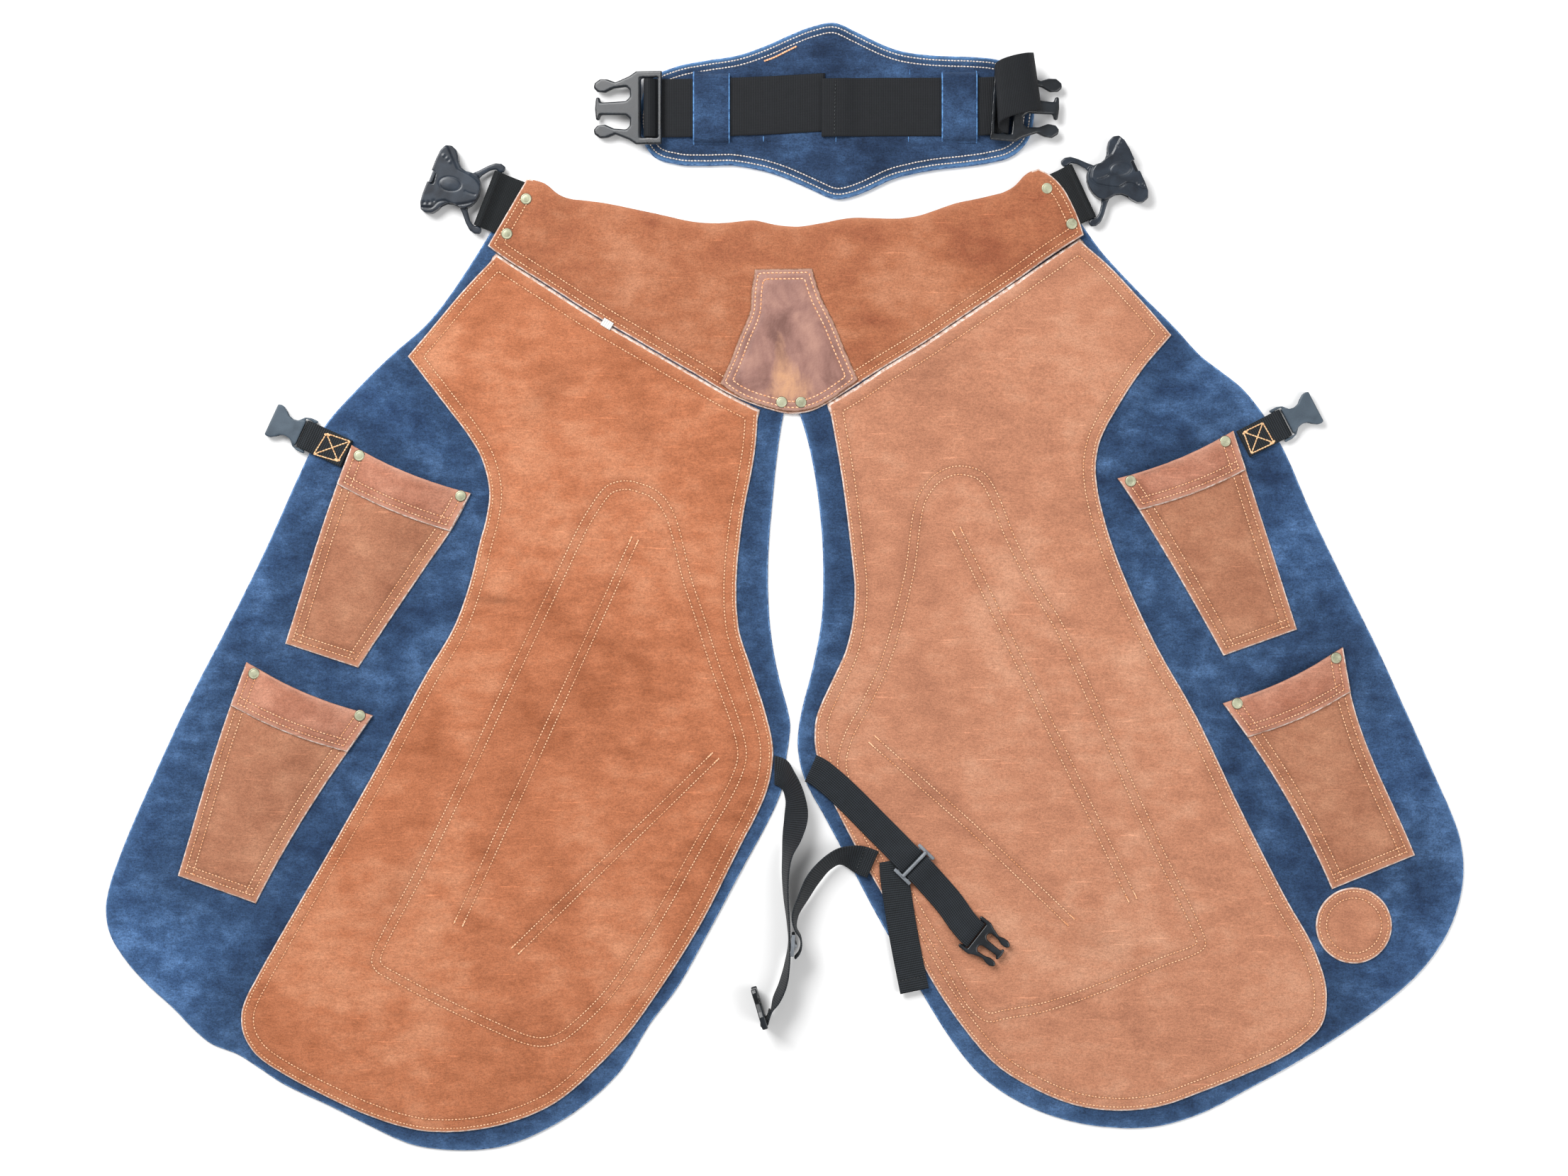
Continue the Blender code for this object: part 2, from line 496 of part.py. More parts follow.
def pocket_grid(corners):
    """Rows of points up a pocket front; each row runs from the outer to the inner side."""
    mouth_out, mouth_in, cuff_out, cuff_in, foot_out, foot_in, waist = corners
    shares = [0, POCKET_HEM, 0.22, 0.34, 0.5, 0.66, 0.78, 1 - POCKET_HEM, 1]
    rows = []

    def row(outer, inner, sag, climb):
        a, b = Vector(outer), Vector(inner)
        down = Vector((b.y - a.y, a.x - b.x)).normalized()
        if down.y > 0:
            down = -down
        cells = []
        for share in shares:
            across = clamp((share - POCKET_HEM) / (1 - 2 * POCKET_HEM))
            point = a.lerp(b, share) + down * sag * 4 * share * (1 - share)
            rise = POCKET_CROWN * climb * math.sin(math.pi * across) ** 0.7 if 0 < across < 1 else 0.0
            cells.append((point.x, point.y, FIRST_LAYER + rise))
        return cells

    foot_o, foot_i = Vector(foot_out), Vector(foot_in)
    cuff_o, cuff_i = Vector(cuff_out), Vector(cuff_in)
    hem = 0.07
    for share in (0, hem, 0.3, 0.55, 0.8):
        outer = foot_o.lerp(cuff_o, share)
        inner = foot_i.lerp(cuff_i, share)
        inner = inner + (outer - inner).normalized() * waist * 4 * share * (1 - share)
        climb = 0.0 if share <= hem else 0.78 * (share - hem) / (1 - hem)
        rows.append(row(outer, inner, CUFF_SAG * share, climb))
    rows.append(row(cuff_out, cuff_in, CUFF_SAG, 0.78))
    middle_out = Vector(cuff_out).lerp(Vector(mouth_out), 0.5)
    middle_in = Vector(cuff_in).lerp(Vector(mouth_in), 0.5)
    rows.append(row(middle_out, middle_in, (CUFF_SAG + MOUTH_SAG) / 2, 0.92))
    rows.append(row(mouth_out, mouth_in, MOUTH_SAG, 1.0))
    return rows


def grid_surface(rows, lift=0.0):
    """An open surface over rows of points, with its faces up."""
    bm = bmesh.new()
    verts = [[bm.verts.new((x, y, z + lift)) for x, y, z in row] for row in rows]
    for low, high in zip(verts, verts[1:]):
        for i in range(len(low) - 1):
            bm.faces.new((low[i], low[i + 1], high[i + 1], high[i]))
    bmesh.ops.recalc_face_normals(bm, faces=bm.faces)
    if sum(f.normal.z for f in bm.faces) < 0:
        bmesh.ops.reverse_faces(bm, faces=bm.faces)
    return bm


def build_pockets():
    cuff_rows = 3
    for name, corners in POCKETS.items():
        rows = pocket_grid(corners)
        front = raise_wall(grid_surface(rows), lambda x, y, z: z + LEATHER)
        add_part("pocket_front_" + name, front, "orange_suede")
        cuff = raise_wall(grid_surface(rows[-cuff_rows:], FIRST_LAYER), lambda x, y, z: z + LEATHER)
        add_part("pocket_cuff_" + name, cuff, "orange_suede")


def build_round_patch():
    steps = 40
    circle = [(ROUND_PATCH_RADIUS * math.cos(2 * math.pi * k / steps),
               ROUND_PATCH_RADIUS * math.sin(2 * math.pi * k / steps)) for k in range(steps)]
    add_part("round_patch", flat_plate([circle], LEATHER), "orange_suede",
             (*ROUND_PATCH_CENTRE, FIRST_LAYER + LEATHER / 2))


def build_rivets():
    sides = 12
    profile = ((1.0, 0.0), (1.0, 0.25), (0.9, 0.62), (0.62, 0.9), (0.0, 1.0))    # radius and height shares
    seats = [(WAIST_RIVETS, BAND_RISE + FIRST_LAYER, "waist_rivet_"),
             (CROTCH_RIVETS, SECOND_LAYER + FIRST_LAYER, "rivet_"),
             (POCKET_RIVETS, SECOND_LAYER + FIRST_LAYER, "pocket_rivet_")]
    for table, seat, prefix in seats:
        for name, (x, y) in table.items():
            bm = bmesh.new()
            bmesh.ops.create_cone(bm, cap_ends=True, segments=sides, radius1=RIVET_RADIUS,
                                  radius2=RIVET_RADIUS, depth=RIVET_HEIGHT * profile[1][1])
            bmesh.ops.translate(bm, verts=bm.verts, vec=(0, 0, RIVET_HEIGHT * profile[1][1] / 2))
            cap = [f for f in bm.faces if f.normal.z > 0.9]
            for (radius, height), (wider, lower) in zip(profile[2:4], profile[1:3]):
                bmesh.ops.inset_region(bm, faces=cap, thickness=RIVET_RADIUS * (wider - radius), depth=0,
                                       use_even_offset=True)
                bmesh.ops.translate(bm, verts=list({v for f in cap for v in f.verts}),
                                    vec=(0, 0, RIVET_HEIGHT * (height - lower)))
            bmesh.ops.poke(bm, faces=cap)
            top = max(bm.verts, key=lambda v: (len(v.link_edges) == sides) * 10 + v.co.z)
            top.co.z = RIVET_HEIGHT
            part = add_part(prefix + name, bm, "brass_plate", (x, y, seat))
            part.data.shade_smooth()
            part.data.set_sharp_from_angle(angle=math.radians(40))


def ribbon(name, route, width, finish_name="black_webbing"):
    """Woven strap: a strip across its route, given thickness on both sides of its middle."""
    path = smooth(route)
    bm = bmesh.new()
    edges = []
    for x, y, z, heading, lean in path:
        side = Vector((-math.sin(math.radians(heading)), math.cos(math.radians(heading)), 0))
        across = side * math.cos(math.radians(lean)) + Vector((0, 0, math.sin(math.radians(lean))))
        middle = Vector((x, y, z))
        edges.append([bm.verts.new(middle - across * width / 2), bm.verts.new(middle + across * width / 2)])
    for (a, b), (c, d) in zip(edges, edges[1:]):
        bm.faces.new((a, b, d, c))
    part = add_part(name, bm, finish_name)
    solid = part.modifiers.new("webbing thickness", "SOLIDIFY")
    solid.thickness = (WEBBING if finish_name == "black_webbing" else LEATHER) * MM
    solid.offset = 0
    solid.use_even_offset = True
    return part


def looped_webbing(name, place, width, bar_radius, bar_height, length, drop):
    """Webbing sewn back on itself round a buckle's bar; rows are distance behind the bar and height."""
    x, y, heading = place
    lower = FIRST_LAYER + WEBBING / 2
    upper = lower + WEBBING + GAP
    loop = bar_radius + 0.4 + WEBBING / 2
    rows = [(length, lower), (drop + 6, lower), (drop, lower), (drop / 2, (lower + bar_height - loop) / 2)]
    rows += [(-loop * math.sin(math.radians(a)), bar_height - loop * math.cos(math.radians(a)))
             for a in range(0, 181, 30)]
    rows += [(drop * 0.5, (upper + bar_height + loop) / 2 + 0.4), (drop + 2.5, upper + 0.15),
             (drop + 5.5, upper), (length, upper)]
    u = Vector((math.cos(math.radians(heading)), math.sin(math.radians(heading))))
    route = [(x - u.x * back, y - u.y * back, z, heading, 0) for back, z in rows]
    return ribbon(name, route, width)


def mirrored(half):
    """A whole outline from its half on the +v side."""
    other = [(u, -v) for u, v in reversed(half) if v > 0]
    return list(half) + other


def merge(part, tool, operation):
    """Cut or join a part with a tool that stays hidden."""
    tool.display_type = "WIRE"
    tool.hide_render = True
    step = part.modifiers.new(operation.lower(), "BOOLEAN")
    step.operation = operation
    step.solver = "EXACT"
    step.object = tool


def tool_from(name, bm, part):
    """A cutter or a joined form, placed where its part is."""
    bmesh.ops.scale(bm, vec=(MM, MM, MM), verts=bm.verts)
    mesh = bpy.data.meshes.new(name)
    bm.to_mesh(mesh)
    bm.free()
    tool = bpy.data.objects.new(name, mesh)
    tool.matrix_world = part.matrix_basis.copy()
    bpy.data.collections[CUTTERS].objects.link(tool)
    return tool


def block(low, high):
    bm = bmesh.new()
    bmesh.ops.create_cube(bm, size=1)
    size = [h - l for l, h in zip(low, high)]
    middle = [(l + h) / 2 for l, h in zip(low, high)]
    bmesh.ops.scale(bm, vec=size, verts=bm.verts)
    bmesh.ops.translate(bm, vec=middle, verts=bm.verts)
    return bm


def cross_bar(radius, half_length, u=0.0, z=0.0, sides=12):
    """A round bar across a buckle."""
    bm = bmesh.new()
    bmesh.ops.create_cone(bm, cap_ends=True, segments=sides, radius1=radius, radius2=radius,
                          depth=2 * half_length)
    bmesh.ops.rotate(bm, verts=bm.verts, matrix=Matrix.Rotation(math.radians(90), 3, "X"))
    bmesh.ops.translate(bm, verts=bm.verts, vec=(u, 0, z))
    return bm


def soften(part, width, segments=1):
    bevel = part.modifiers.new("soft edges", "BEVEL")
    bevel.width = width * MM
    bevel.segments = segments
    bevel.limit_method = "ANGLE"
    bevel.angle_limit = math.radians(50)
    part.data.shade_smooth()


def receptacle(name, place, body, arms, height, arm_height, socket, bar, finish_name):
    """Female half of a side-release buckle; its origin is on the bar, which is the hinge."""
    x, y, heading = place
    half = height / 2
    part = add_part(name, flat_plate([mirrored(body)], height), finish_name, (x, y, half), heading)
    soften(part, 1.2 if height > 10 else 0.8)
    merge(part, tool_from(name + "_arms", flat_plate([mirrored(arms)], arm_height), part), "UNION")
    merge(part, tool_from(name + "_bar", cross_bar(bar[0], bar[1]), part), "UNION")
    start, end, half_width, half_height = socket
    hollow = block((start, -half_width, -half_height), (end, half_width, half_height))
    merge(part, tool_from(name + "_socket", hollow, part), "DIFFERENCE")
    return part


def build_receptacles():
    for side, (x, y, heading, length) in WAIST_BUCKLES.items():
        name = "waist_buckle_" + side
        part = receptacle(name, (x, y, heading), WAIST_BODY, WAIST_ARMS, WAIST_BUCKLE_HEIGHT, 5.0,
                          WAIST_SOCKET, (WAIST_BAR_RADIUS, 29.0), "slate_plastic")
        start, end, inner, outer = WAIST_WINDOW
        depth = WAIST_SOCKET[3]
        for sign in (-1, 1):
            low_v, high_v = sorted((sign * inner, sign * outer))
            window = block((start, low_v, -depth), (end, high_v, depth))
            merge(part, tool_from(name + "_window", window, part), "DIFFERENCE")
        start, end, half_width = WAIST_NOTCH
        notch = block((start, -half_width, 0), (end, half_width, WAIST_BUCKLE_HEIGHT))
        merge(part, tool_from(name + "_notch", notch, part), "DIFFERENCE")
        looped_webbing("waist_webbing_" + side, (x, y, heading), WAIST_WEBBING_WIDTH, WAIST_BAR_RADIUS,
                       WAIST_BUCKLE_HEIGHT / 2, length, 6.0)
    for side, (x, y, heading, length) in THIGH_BUCKLES.items():
        receptacle("thigh_buckle_" + side, (x, y, heading), THIGH_BODY, THIGH_ARMS, THIGH_BUCKLE_HEIGHT,
                   4.0, THIGH_SOCKET, (THIGH_BAR_RADIUS, 14.4), "slate_plastic")
        looped_webbing("thigh_webbing_" + side, (x, y, heading), LEG_WEBBING_WIDTH, THIGH_BAR_RADIUS,
                       THIGH_BUCKLE_HEIGHT / 2, length, 5.6)


def male_clip(name, place, stretch, thickness, bar_radius, turn, tilt=0.0, roll=0.0, rail=None):
    """Male half of a side-release buckle with a round bar that the webbing passes round."""
    along, across = stretch
    half = [(u * along, v * across) for u, v in CLIP_BASE]
    part = add_part(name, flat_plate([mirrored(half)], thickness), "black_plastic", place, turn, tilt, roll)
    soften(part, 0.9)
    bar = cross_bar(bar_radius, 15 * across)
    merge(part, tool_from(name + "_bar", bar, part), "UNION")
    if rail:
        edge = 16.5 * across
        back = block((rail[0], -edge, -1.5), (rail[1], edge, thickness / 2))
        merge(part, tool_from(name + "_rail", back, part), "UNION")
        for sign in (-1, 1):
            low_v, high_v = sorted((sign * 13.6 * across, sign * edge))
            arm = block((rail[0], low_v, -1.5), (0, high_v, thickness / 2))
            merge(part, tool_from(name + "_arm", arm, part), "UNION")
    return part


def build_clips():
    x, y, z, heading = LEG_CLIP_RIGHT
    male_clip("leg_clip_right", (x, y, z), (1, 1), CLIP_THICKNESS, CLIP_BAR_RADIUS, heading)
    x, y, z, heading = LEG_CLIP_LEFT
    male_clip("leg_clip_left", (x, y, z), (1, 1), CLIP_THICKNESS, CLIP_BAR_RADIUS, heading, roll=90)
    for side, (x, y, z, heading, tilt) in BELT_CLIPS.items():
        male_clip("belt_clip_" + side, (x, y, z), BELT_CLIP_STRETCH, 5.0, WAIST_BAR_RADIUS, heading, tilt,
                  rail=BELT_RAIL)


def build_triglides():
    edge = TRIGLIDE_WIDTH / 2
    opening = LEG_WEBBING_WIDTH / 2 + 0.7
    for side, (x, y, z, heading, standing) in TRIGLIDES.items():
        name = "triglide_" + side
        half_length = TRIGLIDE_LENGTH / 2
        rails = block((-half_length, opening, -TRIGLIDE_THICKNESS / 2), (half_length, edge, TRIGLIDE_THICKNESS / 2))
        part = add_part(name, rails, "grey_plastic", (x, y, z), heading, roll=-90 if standing else 0)
        soften(part, 0.6)
        other = block((-half_length, -edge, -TRIGLIDE_THICKNESS / 2), (half_length, -opening, TRIGLIDE_THICKNESS / 2))
        merge(part, tool_from(name + "_rail", other, part), "UNION")
        for u, radius, height in ((-5.8, 1.1, -0.9), (0, TRIGLIDE_BAR_RADIUS, 2.1), (5.8, 1.1, -0.9)):
            bar = cross_bar(radius, opening + 1.5, u, height)
            merge(part, tool_from(name + "_bar", bar, part), "UNION")


def pad_top(x, y, ring):
    rise = clamp((distance_to(ring, x, y) - PAD_BORDER) / PAD_SLOPE)
    return PAD_FLANGE + (PAD_CROWN - PAD_FLANGE) * rise


def build_belt():
    outline = smooth(BACK_PAD, closed=True)
    ring = outline + outline[:1]
    inner = []
    for depth in (PAD_BORDER, PAD_BORDER + PAD_SLOPE):
        spaced = inset_line(outline, depth, 7.0)
        inner.extend(spaced)
    pad = raise_wall(filled_surface(outline, inner, lambda x, y: 0.0), lambda x, y, z: pad_top(x, y, ring))
    add_part("back_pad", pad, "navy_suede")

    ribbon("belt_webbing_left", BELT_LEFT_ROUTE, WAIST_WEBBING_WIDTH)
    ribbon("belt_webbing_right", BELT_RIGHT_ROUTE, WAIST_WEBBING_WIDTH)

    over = PAD_CROWN + WEBBING + 2 * GAP + LEATHER / 2 + 0.2
    for name, (low_x, high_x, middle) in KEEPERS.items():
        inner_edge = WAIST_WEBBING_WIDTH / 2 + 1.6
        rows = [(-34, PAD_CROWN + 1.3), (-inner_edge - 1.2, PAD_CROWN + 1.3), (-inner_edge, over),
                (inner_edge, over), (inner_edge + 1.2, PAD_CROWN + 1.3), (34, PAD_CROWN + 1.3)]
        strip = [[(x, middle + v, z) for v, z in rows] for x in (low_x, high_x)]
        part = add_part(name, grid_surface(strip), "navy_suede")
        solid = part.modifiers.new("leather thickness", "SOLIDIFY")
        solid.thickness = LEATHER * MM
        solid.offset = 0
        solid.use_even_offset = True


def inset_line(outline, depth, spacing):
    """Points a set depth inside an outline, kept apart by at least the spacing."""
    ring = outline + outline[:1]
    count = len(outline)
    kept = []
    for i, point in enumerate(outline):
        along = outline[(i + 1) % count] - outline[i - 1]
        normal = Vector((-along.y, along.x)).normalized()
        for sign in (1, -1):
            moved = point + normal * depth * sign
            if not inside(outline, moved.x, moved.y) or distance_to(ring, moved.x, moved.y) < depth * 0.995:
                continue
            if all((moved - other).length > spacing for other in kept):
                kept.append(moved)
    return kept


def build_straps():
    ribbon("leg_strap_right", LEG_STRAP_RIGHT, LEG_WEBBING_WIDTH)
    ribbon("strap_tail_right", STRAP_TAIL_RIGHT, LEG_WEBBING_WIDTH)
    ribbon("leg_strap_left", LEG_STRAP_LEFT, LEG_WEBBING_WIDTH)
    ribbon("strap_tail_left", STRAP_TAIL_LEFT, LEG_WEBBING_WIDTH)


def build_label():
    x, y, length, width, turn = SIZE_LABEL
    label = block((-length / 2, -width / 2, 0), (length / 2, width / 2, SIZE_LABEL_THICKNESS))
    add_part("size_label", label, "white_ribbon", (x, y, SECOND_LAYER), turn)


def build_apron():
    clear_scene()
    build_leather()
    build_pockets()
    build_round_patch()
    build_rivets()
    build_receptacles()
    build_clips()
    build_triglides()
    build_belt()
    build_straps()
    build_label()
    bpy.context.view_layer.update()


build_apron()
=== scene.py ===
import json
import math

import bmesh
import bpy
import numpy as np
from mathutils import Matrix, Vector, noise
from mathutils.bvhtree import BVHTree
from mathutils.geometry import delaunay_2d_cdt
from mathutils.kdtree import KDTree

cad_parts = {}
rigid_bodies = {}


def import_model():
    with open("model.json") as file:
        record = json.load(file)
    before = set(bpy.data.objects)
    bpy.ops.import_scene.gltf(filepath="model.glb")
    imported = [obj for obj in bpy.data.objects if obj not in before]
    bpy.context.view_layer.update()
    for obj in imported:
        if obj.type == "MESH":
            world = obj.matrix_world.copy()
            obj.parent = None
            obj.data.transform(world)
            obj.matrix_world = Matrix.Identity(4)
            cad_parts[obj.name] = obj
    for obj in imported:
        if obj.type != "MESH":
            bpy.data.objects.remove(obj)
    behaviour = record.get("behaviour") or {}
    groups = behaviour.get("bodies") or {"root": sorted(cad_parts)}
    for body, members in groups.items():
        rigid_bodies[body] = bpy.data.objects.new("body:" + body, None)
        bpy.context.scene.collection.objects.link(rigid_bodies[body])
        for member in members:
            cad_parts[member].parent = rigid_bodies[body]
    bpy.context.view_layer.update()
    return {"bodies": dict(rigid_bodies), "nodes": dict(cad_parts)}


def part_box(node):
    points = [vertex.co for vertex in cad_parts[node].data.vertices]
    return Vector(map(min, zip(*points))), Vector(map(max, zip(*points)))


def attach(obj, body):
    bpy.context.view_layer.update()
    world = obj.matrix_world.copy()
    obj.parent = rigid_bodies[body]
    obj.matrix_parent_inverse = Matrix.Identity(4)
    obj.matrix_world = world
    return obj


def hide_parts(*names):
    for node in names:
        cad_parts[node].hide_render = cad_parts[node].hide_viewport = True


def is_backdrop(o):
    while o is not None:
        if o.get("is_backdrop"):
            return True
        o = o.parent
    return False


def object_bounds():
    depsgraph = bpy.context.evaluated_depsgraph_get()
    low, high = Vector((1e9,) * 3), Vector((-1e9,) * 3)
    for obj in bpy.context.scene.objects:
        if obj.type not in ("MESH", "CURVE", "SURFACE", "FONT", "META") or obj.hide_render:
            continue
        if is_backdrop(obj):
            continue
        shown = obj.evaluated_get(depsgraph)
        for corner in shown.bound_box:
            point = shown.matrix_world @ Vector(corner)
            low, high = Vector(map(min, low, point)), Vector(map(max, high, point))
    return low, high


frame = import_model()
print("frame loaded:", len(frame["nodes"]), "solids")

# Lengths are in millimetres until a mesh is made; one photo pixel is 0.61 mm on the floor.
photo = {"middleX": 1107.0, "middleY": 827.5, "mmPerPixel": 0.61}
leather = {"thickness": 1.8, "air": 0.3, "waviness": 0.75}
firstLayer = leather["thickness"] + leather["air"]


def atPixels(*points):
    return np.array([((x - photo["middleX"]) * photo["mmPerPixel"],
                      (photo["middleY"] - y) * photo["mmPerPixel"]) for x, y in points])


# Materials

def fromHex(code):
    channels = [int(code[i:i + 2], 16) / 255 for i in (1, 3, 5)]
    return [c / 12.92 if c <= 0.04045 else ((c + 0.055) / 1.055) ** 2.4 for c in channels] + [1.0]


def perMetre(size):
    return 1000.0 / size                                   # noise scale for spots of that many millimetres


def addNode(material, kind, inputs=None, **settings):
    node = material.node_tree.nodes.new("ShaderNode" + kind)
    for name, value in settings.items():
        setattr(node, name, value)
    for socket, source in (inputs or {}).items():
        if isinstance(source, bpy.types.Node):
            source = source.outputs[0]
        if isinstance(source, bpy.types.NodeSocket):
            material.node_tree.links.new(source, node.inputs[socket])
        else:
            node.inputs[socket].default_value = source
    return node


def newMaterial(name, **surface):
    material = bpy.data.materials.new(name)
    material.use_nodes = True
    shader = material.node_tree.nodes["Principled BSDF"]
    for socket, value in surface.items():
        shader.inputs[socket].default_value = value
    return material, shader


def join(material, source, shader, socket):
    material.node_tree.links.new(source.outputs[0], shader.inputs[socket])


def rampOf(material, factor, stops):
    ramp = addNode(material, "ValToRGB", {"Fac": factor})
    stripes = ramp.color_ramp.elements
    while len(stripes) < len(stops):
        stripes.new(0.5)
    for stripe, (place, colour) in zip(stripes, stops):
        stripe.position = place
        stripe.color = fromHex(colour)
    return ramp


# Split suede, buffed: dull, cloudy where the nap lies in different directions, and furry close up.
suedes = {
    "navySuede": {"dark": "#1e3250", "middle": "#30496b", "light": "#4e6d96", "rim": "#4f709a", "cloud": 62.0,
                  "patch": 17.0, "nap": 65.0, "reach": (0.37, 0.50, 0.66), "sheen": "#9db8dc", "grain": 0.38,
                  "lint": 1.1, "paintedShade": 0.42},
    "padSuede": {"dark": "#17273f", "middle": "#273b58", "light": "#3c587d", "rim": "#6ea3dc", "cloud": 50.0,
                 "patch": 14.0, "nap": 15.0, "reach": (0.36, 0.50, 0.66), "sheen": "#8fb0dc", "grain": 0.38,
                 "lint": 1.3, "paintedShade": 0.0},
    "leftPatchSuede": {"dark": "#965738", "middle": "#af6c4b", "light": "#c18362", "rim": "#c48a68",
                       "cloud": 120.0, "patch": 26.0, "nap": -25.0, "reach": (0.36, 0.50, 0.64),
                       "sheen": "#e8b090", "grain": 0.23, "lint": 0.0, "paintedShade": 0.0, "burn": 0.38},
    "rightPatchSuede": {"dark": "#a16b52", "middle": "#b47b5f", "light": "#c28e72", "rim": "#c6947a",
                        "cloud": 120.0, "patch": 26.0, "nap": 30.0, "reach": (0.36, 0.50, 0.64),
                        "sheen": "#ecb898", "grain": 0.22, "lint": 0.0, "paintedShade": 0.0, "burn": 0.38},
    "bandSuede": {"dark": "#8b4f36", "middle": "#a06345", "light": "#b2785a", "rim": "#b87d5e", "cloud": 80.0,
                  "patch": 20.0, "nap": 10.0, "reach": (0.36, 0.50, 0.64), "sheen": "#e6aa88", "grain": 0.23,
                  "lint": 0.0, "paintedShade": 0.0},
    "pocketSuede": {"dark": "#925e46", "middle": "#a26d53", "light": "#b27e62", "rim": "#c29078",
                    "cloud": 60.0, "patch": 16.0, "nap": 40.0, "reach": (0.36, 0.50, 0.64),
                    "sheen": "#ecb898", "grain": 0.22, "lint": 0.0, "paintedShade": 0.0},
    "cuffSuede": {"dark": "#955d47", "middle": "#a8705a", "light": "#ba836c", "rim": "#cda08c", "cloud": 40.0,
                  "patch": 12.0, "nap": 20.0, "reach": (0.36, 0.50, 0.64), "sheen": "#f0c0a6", "grain": 0.22,
                  "lint": 0.0, "paintedShade": 0.0},
}


